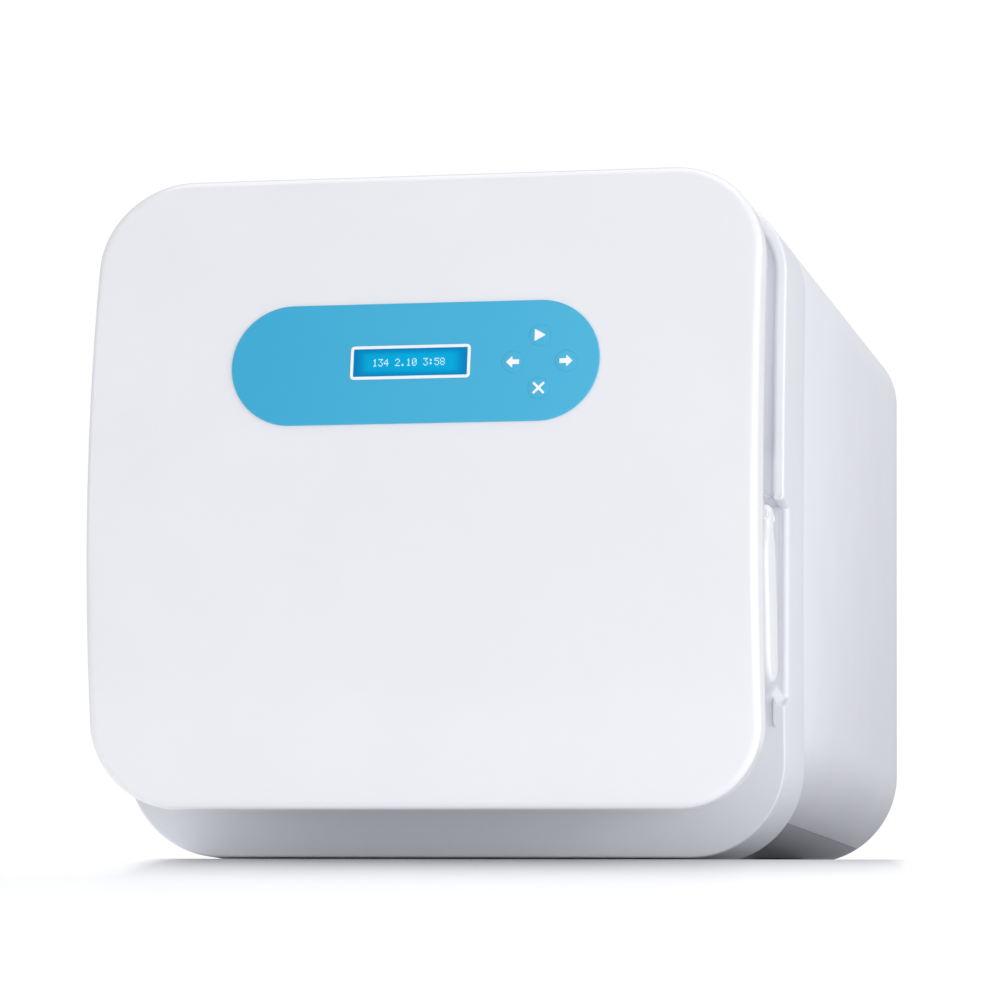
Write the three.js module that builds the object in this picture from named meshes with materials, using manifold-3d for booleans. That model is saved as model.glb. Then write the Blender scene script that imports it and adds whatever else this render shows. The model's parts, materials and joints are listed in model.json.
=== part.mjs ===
// Benchtop autoclave with a side-hinged convex door, membrane keypad and a
// round pressure chamber. Millimetres, +Z up, the front faces -Y.
// Origin: on the table, under the centre of the footprint.
import * as THREE from 'three';
import { mergeVertices } from 'three/addons/utils/BufferGeometryUtils.js';
import Module from 'manifold-3d';

// ---------------------------------------------------------------- dimensions
const DEPTH = 627.2;                 // overall, door apex to rear of the cabinet
const F = -DEPTH / 2;                // y of the door apex
const ZC = 210.5;                    // centre of the door and of the chamber
const DOOR_W = 385, DOOR_Z0 = 29.7, DOOR_Z1 = 391.3;
const DOOR_RT = 52, DOOR_RB = 48;    // upper and lower corner radii
const DOOR_SAG = 28.2;               // how far the front bulges at mid height
const REAR_SAG = 19.6;               // the same for the rear edge of the cover
const SHELL = 3;                     // moulded wall
const BEZEL_HW = 194.3, BEZEL_Z0 = 6, BEZEL_Z1 = 387.9;
const BEZEL_RT = 46, BEZEL_RB = 55.5;
const CAB_HW = 193.8, CAB_Z0 = 26.3, CAB_Z1 = 387.5;
const CAB_RT = 44.5, CAB_RB = 60;
const SHEET = 1.6;                   // cabinet steel
const SEAM_DEG = 57;                 // where the jacket ends round the lower corner
const CH_R = 125, CH_WALL = 2.5, CH_LEN = 430;   // 21 litre chamber
const GAP = 0.3;
const PIN_X = -183, PIN_Y = F + 58.6;            // door hinge axis
const LEVER_X = 187, LEVER_Z = 197;              // lever pivot, front to back
const PANEL_X = -2.5, PANEL_Z = 278.4;           // keypad overlay centre
const PANEL_W = 212, PANEL_H = 69.6;
const KEY_X = 69.3, KEY_Z = 277.4, KEY_STEP = 15.2, KEY_R = 6.2;
const DISP_X = -4.7, DISP_Z = 278.7, DISP_W = 69.2, DISP_H = 19.6;

const wasm = await Module();
wasm.setup();

const Y = d => F + d;                // depth behind the door apex -> y
const bow = (z, z0, z1, s) => { const t = (z - (z0 + z1) / 2) / ((z1 - z0) / 2); return -s * (1 - t * t); };
const doorFront = z => Y(28.2) + bow(z, DOOR_Z0, DOOR_Z1, DOOR_SAG);
const doorRear = z => Y(47) + bow(z, DOOR_Z0, DOOR_Z1, REAR_SAG);
const bezelFront = z => Y(105.3) + bow(z, BEZEL_Z0, BEZEL_Z1, 15);
const bezelRear = z => Y(179.3) + bow(z, BEZEL_Z0, BEZEL_Z1, 9.5);

// ---------------------------------------------------------------- helpers
function clean(g) {
  const c = g.index ? g : mergeVertices(g);
  const b = new THREE.BufferGeometry();
  b.setAttribute('position', c.getAttribute('position').clone());
  b.setIndex(c.index.clone());
  return mergeVertices(b, 1e-4);
}
function solid(g) {
  g = g.clone(); g.deleteAttribute('normal'); g.deleteAttribute('uv');
  const m = mergeVertices(clean(g), 1e-4);
  return new wasm.Manifold(new wasm.Mesh({
    numProp: 3,
    vertProperties: new Float32Array(m.getAttribute('position').array),
    triVerts: new Uint32Array(m.index.array),
  }));
}
function geom(s) {
  const m = s.getMesh();
  const g = new THREE.BufferGeometry();
  const n = m.numProp, v = new Float32Array(m.vertProperties.length / n * 3);
  for (let i = 0; i < v.length / 3; i++) for (let k = 0; k < 3; k++) v[i * 3 + k] = m.vertProperties[i * n + k];
  g.setAttribute('position', new THREE.BufferAttribute(v, 3));
  g.setIndex(new THREE.BufferAttribute(new Uint32Array(m.triVerts), 1));
  g.computeVertexNormals();
  return g;
}
// outline in (x, z), extruded from y0 to y1
function prismY(shape, y0, y1, seg = 6) {
  const g = new THREE.ExtrudeGeometry(shape, { depth: y1 - y0, bevelEnabled: false, curveSegments: seg });
  g.rotateX(Math.PI / 2); g.translate(0, y1, 0);
  return g;
}
// outline in (y, z), extruded from x0 to x1
function prismX(shape, x0, x1, seg = 6) {
  const g = new THREE.ExtrudeGeometry(shape, { depth: x1 - x0, bevelEnabled: false, curveSegments: seg });
  g.applyMatrix4(new THREE.Matrix4().makeBasis(
    new THREE.Vector3(0, 1, 0), new THREE.Vector3(0, 0, 1), new THREE.Vector3(1, 0, 0)));
  g.translate(x0, 0, 0);
  return g;
}
function prismZ(shape, z0, z1, seg = 6) {
  const g = new THREE.ExtrudeGeometry(shape, { depth: z1 - z0, bevelEnabled: false, curveSegments: seg });
  g.translate(0, 0, z0);
  return g;
}
function poly(pts) { return new THREE.Shape(pts.map(p => new THREE.Vector2(p[0], p[1]))); }
function rrect(x0, x1, z0, z1, rt, rb = rt) {
  const s = new THREE.Shape(), k = Math.PI / 2;
  s.moveTo(x0 + rb, z0); s.lineTo(x1 - rb, z0); s.absarc(x1 - rb, z0 + rb, rb, -k, 0);
  s.lineTo(x1, z1 - rt); s.absarc(x1 - rt, z1 - rt, rt, 0, k);
  s.lineTo(x0 + rt, z1); s.absarc(x0 + rt, z1 - rt, rt, k, 2 * k);
  s.lineTo(x0, z0 + rb); s.absarc(x0 + rb, z0 + rb, rb, 2 * k, 3 * k);
  return s;
}
function box(x0, x1, y0, y1, z0, z1) {
  const g = new THREE.BoxGeometry(x1 - x0, y1 - y0, z1 - z0);
  g.translate((x0 + x1) / 2, (y0 + y1) / 2, (z0 + z1) / 2);
  return g;
}
const B = (...a) => solid(box(...a));
// band between two curves y = a(z) and y = b(z)
function band(a, b, z0, z1, x0, x1, n = 12) {
  const p = [];
  for (let i = 0; i <= n; i++) { const z = z0 + (z1 - z0) * i / n; p.push([a(z), z]); }
  for (let i = n; i >= 0; i--) { const z = z0 + (z1 - z0) * i / n; p.push([b(z), z]); }
  return prismX(poly(p), x0, x1);
}
// body of revolution about a front-to-back axis; profile is [r, y] pairs
function latheY(profile, seg = 40, x = 0, z = ZC) {
  const p = profile.map(q => new THREE.Vector2(q[0], q[1]));
  if (p[0].x !== 0 || p[p.length - 1].x !== 0) p.push(p[0].clone());
  const g = new THREE.LatheGeometry(p, seg);
  g.translate(x, 0, z);
  return g;
}
function fixSign(g) {                // outward facing, whichever way the profile runs
  g = g.clone(); g.deleteAttribute('normal'); g.deleteAttribute('uv');
  let m = mergeVertices(clean(g), 1e-4);
  const a = m.getAttribute('position').array, t = m.index.array;
  let v = 0;
  const tri = [];
  for (let i = 0; i < t.length; i += 3) {
    const [p, q, r] = [t[i], t[i + 1], t[i + 2]];
    if (p === q || q === r || p === r) continue;
    tri.push(p, q, r);
    const P = p * 3, Q = q * 3, R = r * 3;
    v += a[P] * (a[Q + 1] * a[R + 2] - a[Q + 2] * a[R + 1])
      - a[P + 1] * (a[Q] * a[R + 2] - a[Q + 2] * a[R])
      + a[P + 2] * (a[Q] * a[R + 1] - a[Q + 1] * a[R]);
  }
  if (v < 0) for (let i = 0; i < tri.length; i += 3) [tri[i + 1], tri[i + 2]] = [tri[i + 2], tri[i + 1]];
  m.setIndex(tri);
  return m;
}
const L = (...a) => solid(fixSign(latheY(...a)));
function cylY(x, z, r, y0, y1, seg = 20) {
  const g = new THREE.CylinderGeometry(r, r, y1 - y0, seg);
  g.translate(x, (y0 + y1) / 2, z);
  return g;
}
function cylZ(x, y, r, z0, z1, seg = 20) {
  const g = new THREE.CylinderGeometry(r, r, z1 - z0, seg);
  g.rotateX(Math.PI / 2); g.translate(x, y, (z0 + z1) / 2);
  return g;
}
function cylX(y, z, r, x0, x1, seg = 20) {
  const g = new THREE.CylinderGeometry(r, r, x1 - x0, seg);
  g.rotateZ(Math.PI / 2); g.translate((x0 + x1) / 2, y, z);
  return g;
}
const CY = (...a) => solid(cylY(...a)), CZ = (...a) => solid(cylZ(...a)), CX = (...a) => solid(cylX(...a));

const group = new THREE.Group();
const MAT = {
  white: [0xf1f1f5, 0.22, 0], bezel: [0xe4e5ec, 0.35, 0], paint: [0xececf1, 0.4, 0.1],
  blue: [0x3fa9dc, 0.3, 0], glassblue: [0x0a84c4, 0.1, 0], steel: [0xb9bcc0, 0.3, 1],
  darksteel: [0x6d7176, 0.4, 0.9], silicone: [0xd9d4cf, 0.6, 0], rubber: [0x1d1d1f, 0.8, 0],
  felt: [0xd8cfb4, 0.95, 0], pcb: [0x1e6b3a, 0.6, 0], black: [0x1a1a1c, 0.5, 0],
  brass: [0xc9a24b, 0.35, 1], alu: [0xc9ccd1, 0.35, 1], grey: [0xc7c9d0, 0.5, 0],
};
function add(name, g, mat, parent = group) {
  const [c, r, m] = MAT[mat];
  const mesh = new THREE.Mesh(g, new THREE.MeshStandardMaterial({ color: c, roughness: r, metalness: m }));
  mesh.name = name;
  parent.add(mesh);
  return mesh;
}
// a frame lying on the door front at (x, z): local -Y is the outward normal
function onFront(x, z) {
  const g = new THREE.Group();
  const s = (doorFront(z + 1) - doorFront(z - 1)) / 2;
  g.position.set(x, doorFront(z), z);
  g.rotation.x = -Math.atan(s);
  group.add(g);
  return g;
}

// ---------------------------------------------------------------- door shells
const hw = DOOR_W / 2;
const keyPos = { key_start: [0, 1], key_left: [-1, 0], key_right: [1, 0], key_cancel: [0, -1] };
{
  const outer = solid(prismY(rrect(-hw, hw, DOOR_Z0, DOOR_Z1, DOOR_RT, DOOR_RB), Y(-5), Y(60), 6))
    .intersect(solid(band(doorFront, doorRear, DOOR_Z0 - 1, DOOR_Z1 + 1, -200, 200, 10)));
  const inner = solid(prismY(rrect(-hw + SHELL, hw - SHELL, DOOR_Z0 + SHELL, DOOR_Z1 - SHELL, DOOR_RT - SHELL, DOOR_RB - SHELL), Y(-5), Y(80), 6))
    .intersect(solid(band(z => doorFront(z) + SHELL, z => Y(78), DOOR_Z0 - 1, DOOR_Z1 + 1, -200, 200, 10)));
  let c = outer.subtract(inner);
  // window for the display and wells behind the keys
  c = c.subtract(B(DISP_X - 35.5, DISP_X + 35.5, Y(-5), Y(25), DISP_Z - 11, DISP_Z + 11));
  for (const [, [i, k]] of Object.entries(keyPos))
    c = c.subtract(CY(KEY_X + i * KEY_STEP, KEY_Z + k * KEY_STEP, 4, Y(-5), Y(25), 12));
  add('door_cover', geom(c), 'white');
}
{
  // liner: a rim plate that closes the cover and a neck that reaches back
  const rim = z => doorRear(z) - 6.5, rimB = z => doorRear(z) - 3.5;
  const plate = solid(prismY(rrect(-hw + 3.4, hw - 3.4, DOOR_Z0 + 3.4, DOOR_Z1 - 3.4, DOOR_RT - 3.4, DOOR_RB - 3.4), Y(0), Y(70), 4))
    .intersect(solid(band(rim, rimB, DOOR_Z0 - 1, DOOR_Z1 + 1, -200, 200, 6)));
  const back = z => bezelFront(z) - 6;
  const neckO = solid(prismY(rrect(-170, 168, 44, 377, 38), Y(16), Y(110), 4))
    .intersect(solid(band(rim, back, 30, 392, -200, 200, 6)));
  const neckI = solid(prismY(rrect(-167, 165, 47, 374, 35), Y(0), Y(110), 4))
    .intersect(solid(band(() => Y(1), z => back(z) - 3, 30, 392, -200, 200, 6)));
  let f = plate.add(neckO).subtract(neckI);
  f = f.subtract(CY(0, ZC, 143, Y(60), Y(112), 32));         // mouth for the pressure plate
  f = f.subtract(B(-175, -160, Y(40), Y(90), 182, 239));     // hinge end of the crossbar
  f = f.subtract(B(160, 172, Y(57), Y(79), 209, 231));       // latch bolt window
  add('door_back_frame', geom(f), 'bezel');
}
// ---------------------------------------------------------------- keypad and display
{
  const x0 = PANEL_X - PANEL_W / 2, x1 = PANEL_X + PANEL_W / 2;
  const z0 = PANEL_Z - PANEL_H / 2, z1 = PANEL_Z + PANEL_H / 2;
  let o = solid(prismY(rrect(x0, x1, z0, z1, PANEL_H / 2 - 0.01), Y(-5), Y(30), 6))
    .intersect(solid(band(z => doorFront(z) - 1.1, z => doorFront(z) - 0.3, z0 - 2, z1 + 2, -200, 200, 4)));
  o = o.subtract(B(DISP_X - DISP_W / 2 - 0.4, DISP_X + DISP_W / 2 + 0.4, Y(-8), Y(30), DISP_Z - DISP_H / 2 - 0.4, DISP_Z + DISP_H / 2 + 0.4));
  for (const [, [i, k]] of Object.entries(keyPos))
    o = o.subtract(CY(KEY_X + i * KEY_STEP, KEY_Z + k * KEY_STEP, KEY_R + 0.4, Y(-8), Y(30), 16));
  add('keypad_overlay', geom(o), 'blue');
}
for (const [name, [i, k]] of Object.entries(keyPos)) {
  const g = onFront(KEY_X + i * KEY_STEP, KEY_Z + k * KEY_STEP);
  add(name, cylY(0, 0, KEY_R, -1.15, -0.55, 16), 'blue', g);
}
{
  const g = onFront(DISP_X, DISP_Z);
  const w = DISP_W / 2, h = DISP_H / 2;
  add('display_frame', geom(solid(prismY(rrect(-w, w, -h, h, 2.2), -1.3, 0.4, 4))
    .subtract(solid(prismY(rrect(-w + 1.8, w - 1.8, -h + 1.8, h - 1.8, 1.2), -3, 3, 4)))), 'white', g);
  add('display_window', prismY(rrect(-w + 2.1, w - 2.1, -h + 2.1, h - 2.1, 1), -1.0, 0.5, 4), 'glassblue', g);
  let m = B(-40, 40, 8.5, 10.1, -18, 18).add(B(-35, 35, 3.4, 8.5, -10.6, 10.6));
  add('display_module', geom(m), 'black', g);
}
{
  const g = onFront(KEY_X, KEY_Z);
  let b = B(-26.5, 30, 8.5, 10.1, -26, 26);
  for (const [, [i, k]] of Object.entries(keyPos))
    b = b.add(CY(i * KEY_STEP, k * KEY_STEP, 3, 3.6, 8.5, 12));
  add('keypad_board', geom(b), 'pcb', g);
}
// ---------------------------------------------------------------- door mechanism
{
  let c = B(PIN_X, 163, Y(50), Y(62), 185.5, 235.5).add(CZ(PIN_X, PIN_Y, 11, 185.5, 235.5, 24));
  c = c.subtract(CZ(PIN_X, PIN_Y, 6.3, 180, 240, 24)).subtract(CY(0, ZC, 8.3, Y(40), Y(70), 20));
  add('door_crossbar', geom(c), 'darksteel');
  const s = CY(0, ZC, 8, Y(38), Y(62.5), 20).add(CY(0, ZC, 16, Y(62.3), Y(65.4), 20));
  add('plate_stud', geom(s), 'steel');
  const nut = CY(0, ZC, 14, Y(41), Y(49.6), 6).subtract(CY(0, ZC, 8.3, Y(30), Y(60), 20));
  add('stud_nut', geom(nut), 'steel');
}
add('door_plate', geom(L([[0, Y(65.7)], [80, Y(71.5)], [110, Y(80)], [138, Y(80)], [138, Y(98)],
  [136.6, Y(98)], [136.6, Y(92)], [123.4, Y(92)], [123.4, Y(98)], [119, Y(98)], [119, Y(90)],
  [80, Y(78.5)], [0, Y(72)]], 32)), 'steel');
add('door_gasket', geom(L([[123.8, Y(92.3)], [136.2, Y(92.3)], [136.2, Y(99)], [133, Y(103.8)], [127, Y(103.8)], [123.8, Y(99)]], 32)), 'silicone');
{
  const g = B(141, 162.5, Y(62.3), Y(77), 205, 235).subtract(B(138, 166, Y(62.8), Y(72.6), 212.4, 227.6));
  add('bolt_guide', geom(g), 'darksteel');
  add('latch_bolt', box(118, 175.4, Y(63.2), Y(72.2), 212.8, 227.2), 'steel');
}
{
  // lever: upright paddle on a front-to-back pin, with a round hub at its top
  const zt = 206.6, zb = 102.2;
  let p = solid(prismX((() => {
    const s = new THREE.Shape(), r = 15, y0 = Y(56), y1 = Y(88);
    s.moveTo(y0 + r, zb); s.lineTo(y1 - r, zb); s.absarc(y1 - r, zb + r, r, -Math.PI / 2, 0);
    s.lineTo(y1, 170); s.lineTo(Y(81), 184); s.lineTo(Y(63), 184); s.lineTo(y0, 170);
    s.lineTo(y0, zb + r); s.absarc(y0 + r, zb + r, r, Math.PI, 1.5 * Math.PI);
    return s;
  })(), LEVER_X - 3, LEVER_X + 3, 5));
  p = p.add(B(LEVER_X - 3, LEVER_X + 3, Y(63), Y(81), 180, LEVER_Z));
  p = p.add(CY(LEVER_X, LEVER_Z, 6.5, Y(63), Y(81), 20));
  p = p.subtract(CY(LEVER_X, LEVER_Z, 2.8, Y(50), Y(95), 14));
  // hollow for the fingertips near the lower end, on the inner face
  p = p.subtract(B(LEVER_X - 5, LEVER_X - 1, Y(62), Y(82), 108, 165));
  add('door_lever', geom(p), 'white');
  // bracket fixed to the neck: web and two ears
  let b = B(168.4, 171, Y(51), Y(83.5), 186, 205).add(B(168.4, LEVER_X + 5, Y(57), Y(62.5), 189, 204.5))
    .add(B(168.4, LEVER_X + 5, Y(81.5), Y(83.8), 189, 204.5));
  b = b.subtract(CY(LEVER_X, LEVER_Z, 2.8, Y(40), Y(95), 14));
  add('lever_bracket', geom(b), 'darksteel');
  const pin = CY(LEVER_X, LEVER_Z, 2.5, Y(56.4), Y(84.1), 14).add(CY(LEVER_X, LEVER_Z, 4, Y(55), Y(56.6), 14));
  add('lever_pin', geom(pin), 'steel');
}
// ---------------------------------------------------------------- front bezel
{
  const big = (i, s) => solid(prismY(rrect(-BEZEL_HW + i, BEZEL_HW - i, BEZEL_Z0 + i, BEZEL_Z1 - i, BEZEL_RT - i, BEZEL_RB - i), Y(60), Y(200), s));
  const O = big(0, 6).intersect(solid(band(bezelFront, bezelRear, 0, 395, -200, 200, 8)));
  const I = big(SHELL, 6).intersect(solid(band(z => bezelFront(z) + SHELL, z => Y(199), 0, 395, -200, 200, 8)));
  let b = O.subtract(I);
  // return wall round the chamber mouth
  const tube = CY(0, ZC, 153, Y(85), Y(117.9), 32).intersect(O);
  b = b.add(tube);
  // scoop round the lever: floor and end walls
  b = b.add(B(171, 194.2, Y(80), Y(114), 89.5, 209).intersect(O));
  b = b.subtract(B(174, 201, Y(80), Y(111), 92, 206.5));
  // channel between the door edge and the lip
  b = b.subtract(B(174, 189, Y(80), Y(108), 79, 92.1)).subtract(B(174, 189, Y(80), Y(108), 209, 352));
  b = b.subtract(B(174, 189, Y(80), Y(120), 203, 237));      // way through for the keeper
  b = b.subtract(B(156, 189, Y(111.5), Y(120), 203, 237));
  b = b.subtract(B(-192, -168, Y(80), Y(120), 158, 264));    // way through for the hinge
  b = b.subtract(CY(0, ZC, 150, Y(80), Y(125), 32));
  add('front_bezel', geom(b), 'bezel');
}
// ---------------------------------------------------------------- cabinet
const a0 = -SEAM_DEG * Math.PI / 180;
function arcPts(cx, cz, r, s, e, n) {
  const p = [];
  for (let i = 0; i <= n; i++) { const t = s + (e - s) * i / n; p.push([cx + r * Math.cos(t), cz + r * Math.sin(t)]); }
  return p;
}
function jacketPath(o) {             // half outline inset by o, lower seam to top centre
  const p = arcPts(CAB_HW - CAB_RB, CAB_Z0 + CAB_RB, CAB_RB - o, a0, 0, 7)
    .concat(arcPts(CAB_HW - CAB_RT, CAB_Z1 - CAB_RT, CAB_RT - o, 0, Math.PI / 2, 9));
  return p;
}
function mirror(p) { return p.map(q => [-q[0], q[1]]).reverse(); }
{
  const out = jacketPath(0), inn = jacketPath(SHEET);
  const full = out.concat(mirror(out)), fullI = inn.concat(mirror(inn));
  const s = poly(full.concat(fullI.reverse()));
  const j = solid(prismY(s, Y(160), Y(DEPTH)))
    .intersect(solid(band(z => bezelRear(z) + GAP, () => Y(DEPTH + 5), 0, 400, -210, 210, 8)));
  add('cabinet_jacket', geom(j), 'paint');
}
{
  // underside: flat pan whose edges turn up round the corner as far as the seam
  const cx = CAB_HW - CAB_RB, cz = CAB_Z0 + CAB_RB, e = a0 - 0.35 * Math.PI / 180;
  const half = o => arcPts(cx, cz, CAB_RB - o, -Math.PI / 2, e, 5);
  const flange = arcPts(cx, cz, CAB_RB - SHEET - GAP, e, e + 0.34, 4);
  const flangeI = arcPts(cx, cz, CAB_RB - SHEET - GAP - SHEET, e + 0.34, e, 4);
  const outerR = half(0).concat(flange, flangeI);
  const innerR = half(2 * SHEET + GAP).reverse().slice(1);
  const right = outerR.concat(innerR);
  const left = right.map(q => [-q[0], q[1]]).reverse();
  const s = poly(right.concat(left));
  const tail = half(0).concat(half(SHEET).reverse());
  const p = solid(prismY(s, Y(160), Y(611)))
    .add(solid(prismY(poly(tail.concat(tail.map(q => [-q[0], q[1]]).reverse())), Y(605), Y(DEPTH))))
    .intersect(solid(band(z => bezelRear(z) + GAP, () => Y(DEPTH + 5), 0, 400, -210, 210, 8)));
  add('base_pan', geom(p), 'paint');
}
{
  const c = i => rrect(-CAB_HW + i, CAB_HW - i, CAB_Z0 + i, CAB_Z1 - i, CAB_RT - i, CAB_RB - i);
  let r = solid(prismY(c(SHEET + GAP), Y(612.8), Y(614.6), 5));
  r = r.intersect(B(-200, 200, Y(600), Y(620), CAB_Z0 + SHEET + GAP, CAB_Z1));
  r = r.subtract(B(112, 140.6, Y(600), Y(620), 62, 83))          // power inlet
    .subtract(B(112.7, 139.3, Y(600), Y(620), 96, 108))           // rocker
    .subtract(CY(92, 66, 6.6, Y(600), Y(620), 16)).subtract(CY(92, 90, 6.6, Y(600), Y(620), 16))
    .subtract(CY(-110, 70, 7.4, Y(600), Y(620), 16))              // drain outlet
    .subtract(CY(-60, 330, 12, Y(600), Y(620), 16));              // safety valve outlet
  for (let i = 0; i < 4; i++) r = r.subtract(B(60, 130, Y(600), Y(620), 276 + i * 14, 281 + i * 14));
  for (const [x, z] of [[-160, 360], [160, 360], [-165, 110], [165, 110]]) r = r.subtract(CY(x, z, 2.4, Y(600), Y(620), 8));
  add('rear_panel', geom(r), 'paint');
}
{
  const n = ['rear_screw_upper_left', 'rear_screw_upper_right', 'rear_screw_lower_left', 'rear_screw_lower_right'];
  [[-160, 360], [160, 360], [-165, 110], [165, 110]].forEach(([x, z], i) =>
    add(n[i], geom(CY(x, z, 2, Y(604), Y(615), 6).add(CY(x, z, 4.2, Y(614.9), Y(617.4), 10))), 'steel'));
}
{
  const n = { foot_front_left: [-120, Y(215)], foot_front_right: [120, Y(215)], foot_rear_left: [-120, Y(572)], foot_rear_right: [120, Y(572)] };
  for (const [k, [x, y]] of Object.entries(n)) {
    const g = new THREE.LatheGeometry([[0, 0], [13.5, 0], [15, 2], [17, CAB_Z0 - GAP], [0, CAB_Z0 - GAP]].map(q => new THREE.Vector2(...q)), 14);
    g.rotateX(Math.PI / 2); g.translate(x, y, 0);
    add(k, geom(solid(fixSign(g))), 'rubber');
  }
}
// ---------------------------------------------------------------- pressure chamber
const M = Y(104.1);                    // sealing face at the mouth
const R1 = CH_R + CH_WALL;
add('chamber_vessel', geom(L([[CH_R, M], [CH_R, M + CH_LEN - 13], [116, M + CH_LEN + 4], [75, M + CH_LEN + 16], [0, M + CH_LEN + 21],
  [0, M + CH_LEN + 23.5], [76, M + CH_LEN + 18.5], [118, M + CH_LEN + 6], [R1, M + CH_LEN - 12], [R1, M]], 32)), 'steel');
add('chamber_flange', geom(L([[R1 + GAP, M], [145, M], [145, M + 13.6], [R1 + GAP, M + 13.6]], 32)), 'steel');
add('heater_band', geom(L([[R1 + GAP, Y(250)], [R1 + 2.1, Y(250)], [R1 + 2.1, Y(430)], [R1 + GAP, Y(430)]], 32)), 'rubber');
add('chamber_insulation', geom(L([[R1 + 2.6, Y(124)], [142, Y(124)], [142, Y(520)], [R1 + 2.6, Y(520)]], 32)), 'felt');
{
  let b = solid(prismY(rrect(-182, 182, 36, 372, 36, 44), Y(118.1), Y(120.6), 5)).subtract(CY(0, ZC, 131, Y(100), Y(140), 32));
  add('front_bulkhead', geom(b), 'darksteel');
  // saddle under the rear of the vessel, standing on the base pan
  let s = B(-105, 105, Y(526), Y(529), CAB_Z0 + 2 * SHEET + 2 * GAP, 150).subtract(CY(0, ZC, R1 + 0.6, Y(500), Y(560), 32));
  s = s.add(B(-105, 105, Y(526), Y(540), CAB_Z0 + 2 * SHEET + 2 * GAP, CAB_Z0 + 2 * SHEET + 2 * GAP + 2));
  add('chamber_support_rear', geom(s), 'darksteel');
}
{
  // rack: two side walls with three ledges each, tied by cross straps
  const y0 = Y(170), y1 = Y(517);
  const side = s => {
    let a = B(s > 0 ? 90.4 : -92.4, s > 0 ? 92.4 : -90.4, y0, y1, 130, 291);
    for (const z of [146, 194, 242]) a = a.add(B(s > 0 ? 83 : -91, s > 0 ? 91 : -83, y0, y1, z - 2.3, z - 0.6));
    for (const z of [160, 208]) a = a.subtract(B(s > 0 ? 89 : -94, s > 0 ? 94 : -89, Y(200), Y(487), z, z + 22));
    return a;
  };
  let r = side(1).add(side(-1));
  for (const y of [y0, Y(340), y1 - 12]) r = r.add(B(-91, 91, y, y + 12, 130, 132));
  add('tray_rack', geom(r), 'steel');
  const names = ['tray_lower', 'tray_middle', 'tray_upper'];
  [146, 194, 242].forEach((z, i) => {
    let t = B(-88, 88, Y(224), Y(514), z, z + 18).subtract(B(-86.6, 86.6, Y(225.4), Y(512.6), z + 1.4, z + 30));
    for (let k = 0; k < 6; k++)
      t = t.subtract(B(-70, 70, Y(250 + k * 46), Y(256 + k * 46), z - 2, z + 4));
    add(names[i], geom(t), 'alu');
  });
}
// ---------------------------------------------------------------- hinge and keeper
{
  for (const [n, z0, z1] of [['hinge_bracket_upper', 236.5, 249], ['hinge_bracket_lower', 172, 184.5]]) {
    let b = B(PIN_X - 8, PIN_X + 10.5, PIN_Y, Y(117.8), z0, z1).add(CZ(PIN_X, PIN_Y, 10.5, z0, z1, 24)).add(B(PIN_X - 8, -158, Y(112), Y(117.8), z0, z1));
    add(n, geom(b.subtract(CZ(PIN_X, PIN_Y, 6.3, 150, 270, 24))), 'darksteel');
  }
  add('hinge_pin', geom(CZ(PIN_X, PIN_Y, 6, 170, 250, 24).add(CZ(PIN_X, PIN_Y, 9, 249.3, 252, 24))), 'steel');
  let k = B(176.2, 182, Y(57), Y(117.8), 206, 234).add(B(161, 182, Y(112.5), Y(117.8), 206, 234));
  k = k.subtract(B(170, 190, Y(61), Y(76), 211.5, 228.5));
  add('latch_keeper', geom(k), 'darksteel');
}
{
  let s = B(158, 172, Y(121.2), Y(136), 255, 275).add(B(166, 169, Y(110), Y(122), 262, 268));
  s = s.intersect(B(150, 180, Y(121.2), Y(140), 250, 280));
  add('door_switch', geom(s), 'black');
}
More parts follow.
